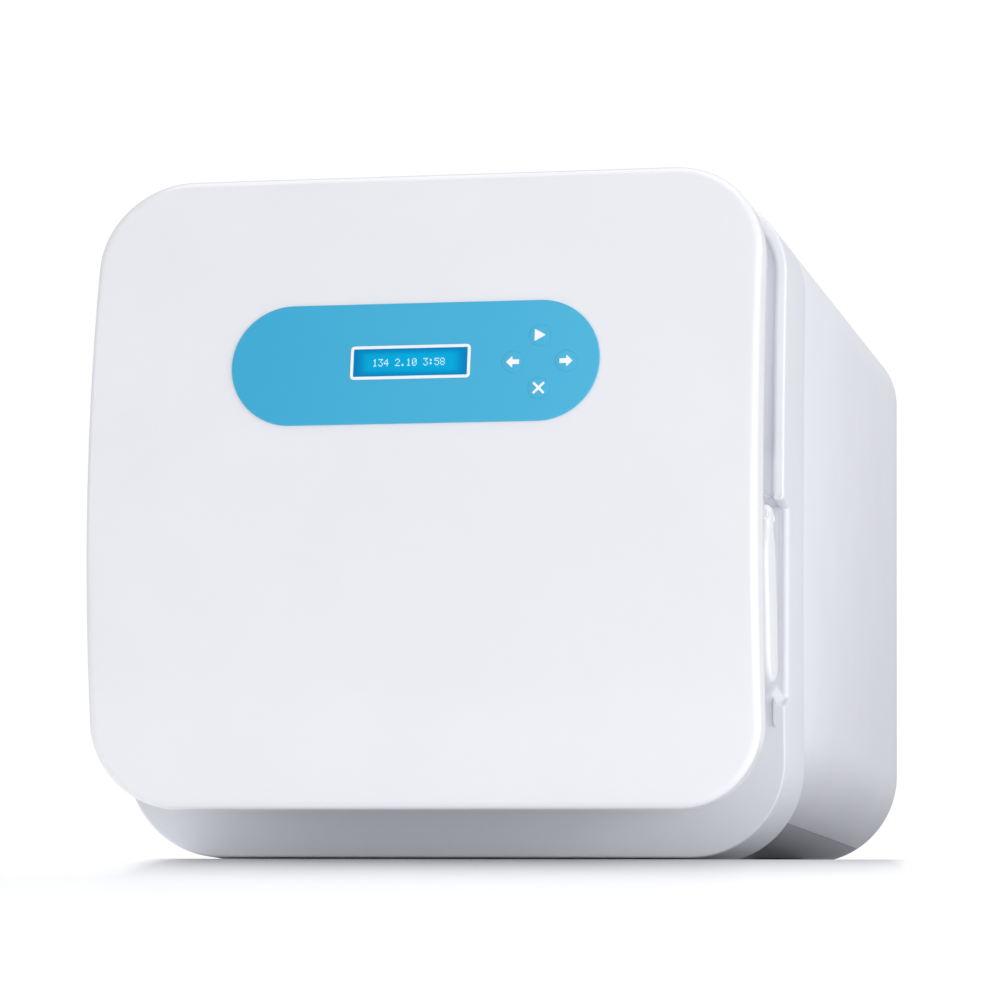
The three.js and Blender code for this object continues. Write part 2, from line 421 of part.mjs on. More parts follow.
// ---------------------------------------------------------------- rear services
{
  const yr = M + CH_LEN + 23.5;
  // safety valve: stands on a stub above the head, outlet to the rear
  let v = CY(-60, 330, 11, Y(590), Y(619), 16).add(CY(-60, 330, 8, Y(619), Y(622), 16));
  v = v.add(B(-70, -50, Y(574), Y(592), 316, 344));
  v = v.subtract(CY(-60, 330, 4.2, Y(586), Y(630), 12));
  add('safety_valve', geom(v), 'brass');
  const st = CY(-60, 330, 3.6, Y(600), Y(623.5), 12).add(L([[6.5, Y(623.2)], [9.5, Y(623.2)], [9.5, Y(625.4)], [6.5, Y(625.4)]], 16, -60, 330))
    .add(B(-68, -52, Y(623.2), Y(625.4), 328.8, 331.2));
  add('safety_valve_stem', geom(st), 'steel');
  // solenoid valve under the head
  let s = B(-130, -98, Y(570), Y(600), 56, 84).add(CZ(-114, Y(585), 13, 84, 122, 20));
  add('solenoid_valve', geom(s), 'black');
  // drain outlet through the rear panel
  let d = CY(-110, 70, 7, Y(600.6), Y(620), 16).add(CY(-110, 70, 10, Y(615), Y(618), 16)).add(CY(-110, 70, 5, Y(618), Y(626.5), 14));
  d = d.subtract(CY(-110, 70, 3, Y(604), Y(630), 12));
  add('drain_outlet', geom(d), 'brass');
  // steam pipe from the head to the solenoid valve
  const path = new THREE.CatmullRomCurve3([[-50, yr + 1.2, 150], [-50, yr + 14, 150], [-80, yr + 27, 150], [-112, yr + 27, 147], [-114, Y(585), 134], [-114, Y(585), 122.4]].map(p => new THREE.Vector3(...p)), false, 'catmullrom', 0.4);
  const c = new THREE.Shape(); c.absarc(0, 0, 4, 0, Math.PI * 2);
  const pg = new THREE.ExtrudeGeometry(c, { steps: 14, extrudePath: path, curveSegments: 4, bevelEnabled: false });
  add('steam_pipe', geom(solid(fixSign(pg))), 'steel');
  add('pressure_transducer', geom(CY(55, 150, 9, yr + 1, yr + 9, 6).add(CY(55, 150, 12, yr + 9, yr + 34, 16)).add(CY(55, 150, 5, yr + 34, yr + 42, 12))), 'steel');
  add('temperature_probe', geom(CY(0, ZC, 7, yr + 0.3, yr + 8, 6).add(CY(0, ZC, 2.5, yr + 8, yr + 38, 10))), 'steel');
}
{
  let b = B(176, 177.6, Y(290), Y(470), 90, 200);
  b = b.add(B(158, 176.5, Y(300), Y(345), 110, 165)).add(CX(Y(385), 120, 13, 150, 176.5, 16)).add(CX(Y(425), 120, 13, 150, 176.5, 16)).add(B(166, 176.5, Y(370), Y(455), 150, 175));
  add('power_board', geom(b), 'pcb');
  let i = B(112.4, 140.2, Y(598), Y(613.5), 62.4, 82.6).add(B(106, 146.6, Y(614.9), Y(618), 57, 88)).subtract(B(115.4, 137.2, Y(603), Y(620), 65.4, 79.6));
  i = i.add(B(112.4, 140.2, Y(598), Y(616), 62.4, 82.6).subtract(B(115.4, 137.2, Y(603), Y(620), 65.4, 79.6)));
  for (const [x, z] of [[120, 71], [126.3, 74], [132.6, 71]]) i = i.add(B(x - 1, x + 1, Y(602), Y(614), z - 2.5, z + 2.5));
  add('power_inlet', geom(i), 'black');
  for (const [n, z] of [['fuse_holder_lower', 66], ['fuse_holder_upper', 90]])
    add(n, geom(CY(92, z, 6.2, Y(596), Y(615.5), 16).add(CY(92, z, 8.5, Y(614.9), Y(621), 16))), 'black');
}
{
  // rocker: pivots on a side-to-side axis, rests tilted with its upper end pressed in
  const g = new THREE.Group();
  g.position.set(126, Y(612), 102); g.rotation.x = THREE.MathUtils.degToRad(8);
  group.add(g);
  const s = poly([[-6, -5], [3.4, -5.2], [2.4, 0], [3.4, 5.2], [-6, 5]]);
  add('power_switch_rocker', prismX(s, -12.6, 12.6), 'black', g);
}

export default group;
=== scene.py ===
import json
import math
import bpy
import bmesh
import numpy as np
from mathutils import Matrix, Vector

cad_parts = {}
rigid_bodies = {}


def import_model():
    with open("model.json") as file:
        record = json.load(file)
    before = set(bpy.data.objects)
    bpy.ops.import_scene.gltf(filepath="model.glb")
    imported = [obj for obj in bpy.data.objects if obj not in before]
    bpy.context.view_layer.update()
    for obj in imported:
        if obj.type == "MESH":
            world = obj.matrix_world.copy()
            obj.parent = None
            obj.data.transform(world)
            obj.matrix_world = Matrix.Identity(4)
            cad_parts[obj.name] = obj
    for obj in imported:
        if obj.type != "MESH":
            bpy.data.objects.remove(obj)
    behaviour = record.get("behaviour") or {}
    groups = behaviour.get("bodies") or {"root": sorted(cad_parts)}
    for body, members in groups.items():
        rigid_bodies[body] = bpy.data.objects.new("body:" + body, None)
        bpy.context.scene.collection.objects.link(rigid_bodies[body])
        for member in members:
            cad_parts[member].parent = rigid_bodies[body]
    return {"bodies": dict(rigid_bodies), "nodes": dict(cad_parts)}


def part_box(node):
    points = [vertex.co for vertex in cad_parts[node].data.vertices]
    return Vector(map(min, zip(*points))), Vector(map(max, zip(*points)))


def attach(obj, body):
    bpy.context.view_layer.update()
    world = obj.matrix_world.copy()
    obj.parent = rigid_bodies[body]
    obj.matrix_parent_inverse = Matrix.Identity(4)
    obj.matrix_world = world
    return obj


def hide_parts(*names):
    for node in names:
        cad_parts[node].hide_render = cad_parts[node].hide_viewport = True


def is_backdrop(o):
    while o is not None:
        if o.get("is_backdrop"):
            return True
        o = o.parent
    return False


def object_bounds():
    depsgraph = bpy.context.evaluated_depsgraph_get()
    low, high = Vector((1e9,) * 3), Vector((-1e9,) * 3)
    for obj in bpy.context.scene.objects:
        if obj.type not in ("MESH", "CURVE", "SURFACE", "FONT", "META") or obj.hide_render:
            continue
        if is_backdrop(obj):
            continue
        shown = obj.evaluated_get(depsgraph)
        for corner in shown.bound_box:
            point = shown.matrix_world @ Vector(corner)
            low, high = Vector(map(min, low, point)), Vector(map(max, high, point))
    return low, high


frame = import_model()
scene = bpy.context.scene
NODES, BODIES = frame["nodes"], frame["bodies"]


def plain(v):
    if hasattr(v, "__len__"):
        return [plain(x) for x in v]
    return float(v)


cad_bounds = plain(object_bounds())
scene.view_settings.view_transform = "Standard"
scene.view_settings.look = "None"
scene.view_settings.exposure = 0.0
scene.view_settings.gamma = 1.0

# ------------------------------------------------------------------ camera
cam_data = bpy.data.cameras.new("camera")
cam_data.sensor_width = 36.0
cam_data.lens = 155.633
cam_data.clip_start = 0.05
cam_data.clip_end = 60
cam = bpy.data.objects.new("camera", cam_data)
scene.collection.objects.link(cam)
R_ = Vector((0.9776844843600803, 0.20979920356314247, 0.010832507827602105))
U_ = Vector((0.01610048308209466, -0.12624270115403854, 0.9918687185559665))
W_ = Vector((-0.20946079224066527, 0.9695602480452689, 0.12680339870961518))
cam.matrix_world = Matrix((
    (R_.x, U_.x, -W_.x, 0.5516920),
    (R_.y, U_.y, -W_.y, -2.6432122),
    (R_.z, U_.z, -W_.z, -0.1052658),
    (0, 0, 0, 1)))
scene.camera = cam

# ------------------------------------------------------------------ shape of the object, in millimetres
DEPTH, F = 627.2, -313.6
ZC = 210.5
DOOR_HW, DOOR_Z0, DOOR_Z1, DOOR_RT, DOOR_RB = 192.5, 29.7, 391.3, 52.0, 48.0
BZ_HW, BZ_Z0, BZ_Z1, BZ_RT, BZ_RB = 194.3, 6.0, 387.9, 46.0, 55.5
CB_HW, CB_Z0, CB_Z1, CB_RT, CB_RB = 193.8, 26.3, 387.5, 44.5, 60.0
SHEET = 1.6
PANEL_X, PANEL_Z, PANEL_W, PANEL_H = -2.5, 278.4, 212.0, 69.6
KEY_X, KEY_Z, KEY_STEP, KEY_R = 69.3, 277.4, 15.2, 6.2
DISP_X, DISP_Z, DISP_W, DISP_H = -4.7, 278.7, 69.2, 19.6


def Y(d):
    return F + d


def bow(z, z0, z1, s):
    t = (z - (z0 + z1) / 2) / ((z1 - z0) / 2)
    return -s * (1 - t * t)


def door_front(z):
    return Y(28.2) + bow(z, DOOR_Z0, DOOR_Z1, 28.2)


def door_rear(z):
    return Y(47) + bow(z, DOOR_Z0, DOOR_Z1, 19.6)


def bezel_front(z):
    return Y(105.3) + bow(z, BZ_Z0, BZ_Z1, 15)


def bezel_rear(z):
    return Y(179.3) + bow(z, BZ_Z0, BZ_Z1, 9.5)


def smooth01(t):
    t = np.clip(t, 0, 1)
    return t * t * (3 - 2 * t)


# ------------------------------------------------------------------ node materials
MATS = {}


def new_mat(name):
    m = bpy.data.materials.new(name)
    m.use_nodes = True
    nt = m.node_tree
    b = nt.nodes["Principled BSDF"]
    MATS[name] = m
    return m, nt, b


def noise(nt, coord, scale, detail=3.0, rough=0.5, stretch=None):
    n = nt.nodes.new("ShaderNodeTexNoise")
    n.inputs["Scale"].default_value = scale
    n.inputs["Detail"].default_value = detail
    n.inputs["Roughness"].default_value = rough
    if stretch:
        mp = nt.nodes.new("ShaderNodeMapping")
        mp.inputs["Scale"].default_value = stretch
        nt.links.new(coord, mp.inputs["Vector"])
        nt.links.new(mp.outputs["Vector"], n.inputs["Vector"])
    else:
        nt.links.new(coord, n.inputs["Vector"])
    return n.outputs["Fac"]


def ramp(nt, fac, stops, interp="LINEAR"):
    r = nt.nodes.new("ShaderNodeValToRGB")
    r.color_ramp.interpolation = interp
    e = r.color_ramp.elements
    e[0].position, e[0].color = stops[0][0], (*stops[0][1], 1)
    e[1].position, e[1].color = stops[-1][0], (*stops[-1][1], 1)
    for p, c in stops[1:-1]:
        k = e.new(p)
        k.color = (*c, 1)
    nt.links.new(fac, r.inputs["Fac"])
    return r.outputs["Color"]


def math_node(nt, op, a, b=None, clamp=False):
    m = nt.nodes.new("ShaderNodeMath")
    m.operation = op
    m.use_clamp = clamp
    for i, v in enumerate((a, b)):
        if v is None:
            continue
        if isinstance(v, (int, float)):
            m.inputs[i].default_value = v
        else:
            nt.links.new(v, m.inputs[i])
    return m.outputs[0]


def bump(nt, b, height, strength, dist):
    n = nt.nodes.new("ShaderNodeBump")
    n.inputs["Strength"].default_value = strength
    n.inputs["Distance"].default_value = dist
    nt.links.new(height, n.inputs["Height"])
    nt.links.new(n.outputs["Normal"], b.inputs["Normal"])
    return n


def coords(nt):
    return nt.nodes.new("ShaderNodeTexCoord").outputs["Object"]


def finish_mat(name, col, rough, metal=0.0, var=0.03, var_scale=14.0, rvar=0.04, grain=(900.0, 0.10, 0.00008),
               coat=0.0, coat_rough=0.08, spec=0.5, stretch=None, tint=None, grain_detail=2.0):
    """A moulded, painted or metal finish: slow colour drift, fine surface grain and uneven gloss."""
    m, nt, b = new_mat(name)
    c = coords(nt)
    lo = tuple(max(0, x * (1 - var)) for x in col)
    hi = tuple(min(1, x * (1 + var)) for x in (tint or col))
    nt.links.new(ramp(nt, noise(nt, c, var_scale, 4, 0.55), [(0.30, lo), (0.70, hi)]), b.inputs["Base Color"])
    b.inputs["Metallic"].default_value = metal
    b.inputs["Specular IOR Level"].default_value = spec
    b.inputs["Coat Weight"].default_value = coat
    b.inputs["Coat Roughness"].default_value = coat_rough
    g = noise(nt, c, grain[0], grain_detail, 0.5, stretch)
    rr = nt.nodes.new("ShaderNodeMapRange")
    rr.inputs["To Min"].default_value = max(0.02, rough - rvar)
    rr.inputs["To Max"].default_value = rough + rvar
    nt.links.new(noise(nt, c, var_scale * 7, 3, 0.5, stretch), rr.inputs["Value"])
    nt.links.new(rr.outputs["Result"], b.inputs["Roughness"])
    bump(nt, b, g, grain[1], grain[2])
    return m


GLOSS_WHITE = finish_mat("gloss_white", (0.835, 0.838, 0.868), 0.30, var=0.010, grain=(420.0, 0.05, 0.00006), coat=0.55, coat_rough=0.12)
BEZEL_WHITE = finish_mat("moulded_grey_white", (0.760, 0.768, 0.815), 0.40, var=0.015, grain=(1500.0, 0.16, 0.00006), coat=0.04, coat_rough=0.2, spec=0.28)
# darker copy of the bezel finish, for the bezel's side wall only: painted shade where the side turns away from the
# light
BEZEL_SIDE_SHADE = finish_mat("moulded_side_painted_shade", (0.700, 0.708, 0.760), 0.46, var=0.015, grain=(1500.0, 0.22, 0.00007), spec=0.25)
PAINT = finish_mat("painted_sheet", (0.790, 0.796, 0.845), 0.42, var=0.018, grain=(1150.0, 0.30, 0.00010), coat=0.10, coat_rough=0.3, grain_detail=3.0)
PAN = finish_mat("painted_pan", (0.50, 0.505, 0.54), 0.5, var=0.03, grain=(1150.0, 0.3, 0.0001))
STEEL = finish_mat("structural_steel", (0.42, 0.43, 0.45), 0.38, metal=0.9, var=0.08, grain=(700.0, 0.12, 0.00006))
BRUSHED = finish_mat("stainless_brushed", (0.66, 0.67, 0.69), 0.30, metal=1.0, var=0.04, rvar=0.06,
                     grain=(900.0, 0.08, 0.00003), stretch=(1.0, 0.08, 1.0))
POLISHED = finish_mat("stainless_polished", (0.72, 0.73, 0.75), 0.16, metal=1.0, var=0.03, rvar=0.05, grain=(300.0, 0.05, 0.00003))
TURNED = finish_mat("stainless_turned", (0.68, 0.69, 0.71), 0.22, metal=1.0, var=0.03, rvar=0.05, grain=(420.0, 0.04, 0.00003))
ALU = finish_mat("tray_aluminium", (0.74, 0.75, 0.77), 0.30, metal=1.0, var=0.04, rvar=0.06, grain=(500.0, 0.12, 0.00005), stretch=(6.0, 1.0, 1.0))
BRASS = finish_mat("valve_brass", (0.72, 0.52, 0.22), 0.28, metal=1.0, var=0.08, grain=(600.0, 0.10, 0.00005))
SILICONE = finish_mat("silicone", (0.70, 0.67, 0.63), 0.55, var=0.04, grain=(1200.0, 0.12, 0.00005), spec=0.4)
RUBBER = finish_mat("foot_rubber", (0.030, 0.030, 0.033), 0.62, var=0.15, grain=(1500.0, 0.35, 0.00012), spec=0.35)
BLACK = finish_mat("black_plastic", (0.028, 0.028, 0.031), 0.40, var=0.12, grain=(1600.0, 0.25, 0.00008))
PCB = finish_mat("circuit_board", (0.035, 0.17, 0.075), 0.45, var=0.18, var_scale=60.0, grain=(900.0, 0.15, 0.00006))
FELT = finish_mat("insulation_felt", (0.66, 0.60, 0.46), 0.95, var=0.16, var_scale=90.0, grain=(2600.0, 0.8, 0.0006), spec=0.2, grain_detail=6.0)
WHITE_INK = finish_mat("white_ink", (0.93, 0.94, 0.96), 0.38, var=0.01, grain=(1500.0, 0.05, 0.00003))
FRAME_WHITE = finish_mat("display_rim_white", (0.90, 0.915, 0.945), 0.24, var=0.01, grain=(900.0, 0.05, 0.00003), coat=0.3)


def blue_film(name, edge=False):
    m, nt, b = new_mat(name)
    c = coords(nt)
    sep = nt.nodes.new("ShaderNodeSeparateXYZ")
    nt.links.new(c, sep.inputs[0])
    mr = nt.nodes.new("ShaderNodeMapRange")
    mr.inputs["From Min"].default_value = -0.112
    mr.inputs["From Max"].default_value = 0.106
    nt.links.new(sep.outputs["X"], mr.inputs["Value"])
    n = noise(nt, c, 22.0, 3)
    f = math_node(nt, "ADD", mr.outputs["Result"], math_node(nt, "MULTIPLY", math_node(nt, "SUBTRACT", n, 0.5), 0.12), clamp=True)
    if edge:
        stops = [(0.0, (0.30, 0.66, 0.83)), (1.0, (0.36, 0.70, 0.86))]
    else:
        stops = [(0.0, (0.034, 0.400, 0.645)), (0.55, (0.050, 0.428, 0.675)), (1.0, (0.066, 0.455, 0.70))]
    nt.links.new(ramp(nt, f, stops), b.inputs["Base Color"])
    g = noise(nt, c, 2600.0, 2)
    b.inputs["Roughness"].default_value = 0.42
    b.inputs["Specular IOR Level"].default_value = 0.45
    bump(nt, b, g, 0.10, 0.00004)
    return m


BLUE = blue_film("blue_film")
BLUE_EDGE = blue_film("blue_film_edge", edge=True)


def display_mat():
    m, nt, b = new_mat("display_glass")
    c = coords(nt)
    sep = nt.nodes.new("ShaderNodeSeparateXYZ")
    nt.links.new(c, sep.inputs[0])
    dx = math_node(nt, "ABSOLUTE", math_node(nt, "SUBTRACT", sep.outputs["X"], DISP_X / 1000))
    dz = math_node(nt, "ABSOLUTE", math_node(nt, "SUBTRACT", sep.outputs["Z"], DISP_Z / 1000))
    ex = nt.nodes.new("ShaderNodeMapRange")
    ex.interpolation_type = "SMOOTHSTEP"
    for k, v in (("From Min", 0.0235), ("From Max", 0.0315), ("To Min", 1.0), ("To Max", 0.0)):
        ex.inputs[k].default_value = v
    nt.links.new(dx, ex.inputs["Value"])
    ez = nt.nodes.new("ShaderNodeMapRange")
    ez.interpolation_type = "SMOOTHSTEP"
    for k, v in (("From Min", 0.0035), ("From Max", 0.0080), ("To Min", 1.0), ("To Max", 0.0)):
        ez.inputs[k].default_value = v
    nt.links.new(dz, ez.inputs["Value"])
    f = math_node(nt, "MULTIPLY", ex.outputs["Result"], ez.outputs["Result"])
    col = ramp(nt, f, [(0.0, (0.0005, 0.190, 0.42)), (1.0, (0.001, 0.315, 0.56))])
    nt.links.new(col, b.inputs["Base Color"])
    nt.links.new(col, b.inputs["Emission Color"])
    b.inputs["Emission Strength"].default_value = 0.22
    b.inputs["Roughness"].default_value = 0.30
    b.inputs["Specular IOR Level"].default_value = 0.05
    g = noise(nt, c, 900.0, 1)
    bump(nt, b, g, 0.02, 0.00002)
    return m


DISPLAY = display_mat()
m_, nt_, b_ = new_mat("display_digits")
c_ = coords(nt_)
nt_.links.new(ramp(nt_, noise(nt_, c_, 300.0, 1), [(0.3, (0.50, 0.80, 0.94)), (0.7, (0.56, 0.84, 0.96))]), b_.inputs["Base Color"])
b_.inputs["Roughness"].default_value = 0.35
b_.inputs["Emission Color"].default_value = (0.55, 0.83, 0.95, 1)
b_.inputs["Emission Strength"].default_value = 0.12
DIGITS = m_

# ------------------------------------------------------------------ mesh helpers (millimetres in, metres out)
PIECES = {}


def make(name, verts, faces, mat, body, replaces=(), slot=None, angle=32.0, fix=True, merge=True):
    me = bpy.data.meshes.new(name)
    me.from_pydata([tuple(float(c) * 0.001 for c in v) for v in verts], [], [tuple(int(i) for i in f) for f in faces])
    bm = bmesh.new()
    bm.from_mesh(me)
    if merge:
        bmesh.ops.remove_doubles(bm, verts=bm.verts, dist=2e-7)
        bmesh.ops.dissolve_degenerate(bm, edges=bm.edges, dist=1e-7)
    if fix:
        bmesh.ops.recalc_face_normals(bm, faces=bm.faces)
    bm.to_mesh(me)
    bm.free()
    o = bpy.data.objects.new(name, me)
    scene.collection.objects.link(o)
    mats = mat if isinstance(mat, (list, tuple)) else [mat]
    for k in mats:
        me.materials.append(k)
    me.shade_smooth()
    me.set_sharp_from_angle(angle=math.radians(angle))
    if body:
        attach(o, body)
    if replaces:
        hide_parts(*replaces)
    PIECES[name] = o
    return o


class Build:
    """Collects closed parts into one mesh."""

    def __init__(self):
        self.v, self.f, self.m = [], [], []

    def add(self, v, f, m=0):
        k = len(self.v)
        self.v += [tuple(p) for p in v]
        self.f += [tuple(i + k for i in q) for q in f]
        self.m += [m] * len(f)
        return self

    def make(self, name, mat, body, **kw):
        o = make(name, self.v, self.f, mat, body, merge=kw.pop("merge", False), **kw)
        if any(self.m):
            for p, k in zip(o.data.polygons, self.m):
                p.material_index = k
        return o


def rings(rs, close=True, cap0=False, cap1=False):
    """Quads between rings of equal length."""
    rs = [np.asarray(r, float) for r in rs]
    n = len(rs[0])
    v = np.concatenate(rs)
    f = []
    for k in range(len(rs) - 1):
        a, b = k * n, (k + 1) * n
        for i in range(n if close else n - 1):
            j = (i + 1) % n
            f.append((a + i, a + j, b + j, b + i))
    if cap0:
        f.append(tuple(range(n))[::-1])
    if cap1:
        f.append(tuple(range((len(rs) - 1) * n, len(rs) * n)))
    return v, f


def loop_rings(rs):
    """Quads between rings, the last joined to the first: a closed tube of rings."""
    rs = [np.asarray(r, float) for r in rs]
    n, k = len(rs[0]), len(rs)
    f = []
    for q in range(k):
        a, b = q * n, ((q + 1) % k) * n
        for i in range(n):
            j = (i + 1) % n
            f.append((a + i, a + j, b + j, b + i))
    return np.concatenate(rs), f


def lathe_y(profile, seg=96, x=0.0, z=ZC, closed=True):
    """Profile of (r, y) turned about a line along y."""
    ang = np.linspace(0, 2 * math.pi, seg, endpoint=False)
    v, f = [], []
    n = len(profile)
    for r, y in profile:
        for a in ang:
            v.append((x + r * math.cos(a), y, z + r * math.sin(a)))
    for k in range(n if closed else n - 1):
        a, b = k * seg, ((k + 1) % n) * seg
        for i in range(seg):
            j = (i + 1) % seg
            f.append((a + i, a + j, b + j, b + i))
    return v, f


def lathe_z(profile, seg=64, x=0.0, y=0.0):
    v, f = lathe_y([(r, h) for r, h in profile], seg, 0, 0)
    return [(x + p[0], y + p[2], p[1]) for p in v], f


def fillet_profile(pts, radii, n=5):
    """Rounds the corners of a closed (a, b) profile."""
    out = []
    k = len(pts)
    for i in range(k):
        p = np.array(pts[i], float)
        r = radii[i] if hasattr(radii, "__len__") else radii
        a, b = np.array(pts[i - 1], float) - p, np.array(pts[(i + 1) % k], float) - p
        la, lb = np.linalg.norm(a), np.linalg.norm(b)
        if r <= 0 or la < 1e-9 or lb < 1e-9:
            out.append(tuple(p))
            continue
        a, b = a / la, b / lb
        c = np.clip(np.dot(a, b), -1, 1)
        half = math.acos(c) / 2
        if half > math.pi / 2 - 0.02:
            out.append(tuple(p))
            continue
        t = min(r / math.tan(half), 0.48 * la, 0.48 * lb)
        r = t * math.tan(half)
        centre = p + (a + b) / np.linalg.norm(a + b) * (r / math.sin(half))
        s, e = p + a * t - centre, p + b * t - centre
        tot = math.atan2(s[0] * e[1] - s[1] * e[0], np.dot(s, e))
        for q in range(n + 1):
            w = tot * q / n
            out.append((centre[0] + s[0] * math.cos(w) - s[1] * math.sin(w), centre[1] + s[0] * math.sin(w) + s[1] * math.cos(w)))
    return out


def slab(outline, a0, a1, edge=1.0, axis="y", n=4, inset=None, edge0=None):
    """A plate: closed 2-D outline (counter-clockwise), from a0 to a1 along the axis, both rims rounded."""
    P = np.array(outline, float)
    d = np.roll(P, -1, 0) - np.roll(P, 1, 0)
    d /= np.linalg.norm(d, axis=1)[:, None] + 1e-12
    N = np.stack([-d[:, 1], d[:, 0]], 1)
    area = 0.5 * np.sum(P[:, 0] * np.roll(P[:, 1], -1) - np.roll(P[:, 0], -1) * P[:, 1])
    if area < 0:
        N = -N
    e0 = edge if edge0 is None else edge0
    prof = []
    for q in range(n + 1):
        w = math.pi / 2 * q / n
        prof.append((e0 * (1 - math.sin(w)), a0 + e0 * (1 - math.cos(w))))
    for q in range(n + 1):
        w = math.pi / 2 * q / n
        prof.append((edge * (1 - math.cos(w)), a1 - edge * (1 - math.sin(w))))

    def at(q, a):
        pts = P + N * q
        if axis == "y":
            return np.stack([pts[:, 0], np.full(len(pts), a), pts[:, 1]], 1)
        if axis == "x":
            return np.stack([np.full(len(pts), a), pts[:, 0], pts[:, 1]], 1)
        return np.stack([pts[:, 0], pts[:, 1], np.full(len(pts), a)], 1)
    return rings([at(q, a) for q, a in prof], True, True, True)


def rrect2(x0, x1, z0, z1, rt, rb=None, n=10, straight=None):
    """Rounded rectangle in two dimensions, counter-clockwise, with its inward normals."""
    rb = rt if rb is None else rb
    pts, nor = [], []

    def arc(cx, cz, r, s, e):
        for i in range(n + 1):
            t = s + (e - s) * i / n
            pts.append((cx + r * math.cos(t), cz + r * math.sin(t)))
            nor.append((-math.cos(t), -math.sin(t)))

    def line(p, q, nn):
        L = math.hypot(q[0] - p[0], q[1] - p[1])
        if straight and L > straight:
            k = int(math.ceil(L / straight))
            for i in range(1, k):
                pts.append((p[0] + (q[0] - p[0]) * i / k, p[1] + (q[1] - p[1]) * i / k))
                nor.append(nn)
    h = math.pi / 2
    arc(x1 - rb, z0 + rb, rb, -h, 0)
    line((x1, z0 + rb), (x1, z1 - rt), (-1, 0))
    arc(x1 - rt, z1 - rt, rt, 0, h)
    line((x1 - rt, z1), (x0 + rt, z1), (0, -1))
    arc(x0 + rt, z1 - rt, rt, h, 2 * h)
    line((x0, z1 - rt), (x0, z0 + rb), (1, 0))
    arc(x0 + rb, z0 + rb, rb, 2 * h, 3 * h)
    line((x0 + rb, z0), (x1 - rb, z0), (0, 1))
    return np.array(pts), np.array(nor)


def circle2(cx, cz, r, n=48):
    a = np.linspace(0, 2 * math.pi, n, endpoint=False)
    return np.stack([cx + r * np.cos(a), cz + r * np.sin(a)], 1)


def box_m(x0, x1, y0, y1, z0, z1, r=0.8, n=2):
    """A block with rounded edges."""
    bm = bmesh.new()
    bmesh.ops.create_cube(bm, size=1.0)
    for v in bm.verts:
        v.co = Vector(((x0 + x1) / 2 + v.co.x * (x1 - x0), (y0 + y1) / 2 + v.co.y * (y1 - y0), (z0 + z1) / 2 + v.co.z * (z1 - z0)))
    if r > 0:
        bmesh.ops.bevel(bm, geom=list(bm.edges), offset=r, offset_type="OFFSET", segments=n, profile=0.5, affect="EDGES", clamp_overlap=True)
    bm.verts.index_update()
    v = [tuple(p.co) for p in bm.verts]
    f = [tuple(p.index for p in q.verts) for q in bm.faces]
    bm.free()
    return v, f


def tube(path, r, seg=20, cap=True):
    """A round bar along a smooth path of points."""
    P = np.array(path, float)
    t = np.gradient(P, axis=0)
    t /= np.linalg.norm(t, axis=1)[:, None]
    up = np.array([0.0, 0.0, 1.0]) if abs(t[0][2]) < 0.9 else np.array([1.0, 0.0, 0.0])
    u = np.cross(t[0], up); u /= np.linalg.norm(u)
    rs = []
    for k in range(len(P)):
        u = u - t[k] * np.dot(u, t[k]); u /= np.linalg.norm(u)
        w = np.cross(t[k], u)
        a = np.linspace(0, 2 * math.pi, seg, endpoint=False)
        rs.append(P[k] + r * (np.cos(a)[:, None] * u + np.sin(a)[:, None] * w))
    return rings(rs, True, cap, cap)


def cyl_y(x, z, r, y0, y1, seg=40, e=0.5):
    e = min(e, r * 0.45, (y1 - y0) * 0.45)
    pr = [(1e-4, y0), (r - e, y0), (r - e * 0.3, y0 + e * 0.3), (r, y0 + e), (r, y1 - e), (r - e * 0.3, y1 - e * 0.3), (r - e, y1), (1e-4, y1)]
    v, f = lathe_y(pr, seg, x, z, closed=False)
    n = len(pr)
    f.append(tuple(range(seg))[::-1])
    f.append(tuple(range((n - 1) * seg, n * seg)))
    return v, f


def cyl_axis(axis, c0, c1, r, a0, a1, seg=40, e=0.5):
    v, f = cyl_y(0, 0, r, a0, a1, seg, e)
    if axis == "y":
        return [(c0 + p[0], p[1], c1 + p[2]) for p in v], f
    if axis == "z":
        return [(c0 + p[0], c1 + p[2], p[1]) for p in v], f
    return [(p[1], c0 + p[0], c1 + p[2]) for p in v], f


def boolean(obj, cutters, op="DIFFERENCE"):
    """Cuts and applies, so no modifier is left."""
    for c in cutters:
        md = obj.modifiers.new("cut", "BOOLEAN")
        md.operation = op
        md.solver = "EXACT"
        md.object = c
    bpy.context.view_layer.update()
    dg = bpy.context.evaluated_depsgraph_get()
    me = bpy.data.meshes.new_from_object(obj.evaluated_get(dg))
    mats = [m for m in obj.data.materials]
    obj.modifiers.clear()
    old = obj.data
    obj.data = me
    me.materials.clear()
    for m in mats:
        me.materials.append(m)
    bpy.data.meshes.remove(old)
    for c in cutters:
        d = c.data
        bpy.data.objects.remove(c)
        bpy.data.meshes.remove(d)
    return obj


def cutter(v, f):
    me = bpy.data.meshes.new("cutter")
    me.from_pydata([tuple(float(c) * 0.001 for c in p) for p in v], [], f)
    bm = bmesh.new(); bm.from_mesh(me); bmesh.ops.recalc_face_normals(bm, faces=bm.faces); bm.to_mesh(me); bm.free()
    o = bpy.data.objects.new("cutter", me)
    scene.collection.objects.link(o)
    return o


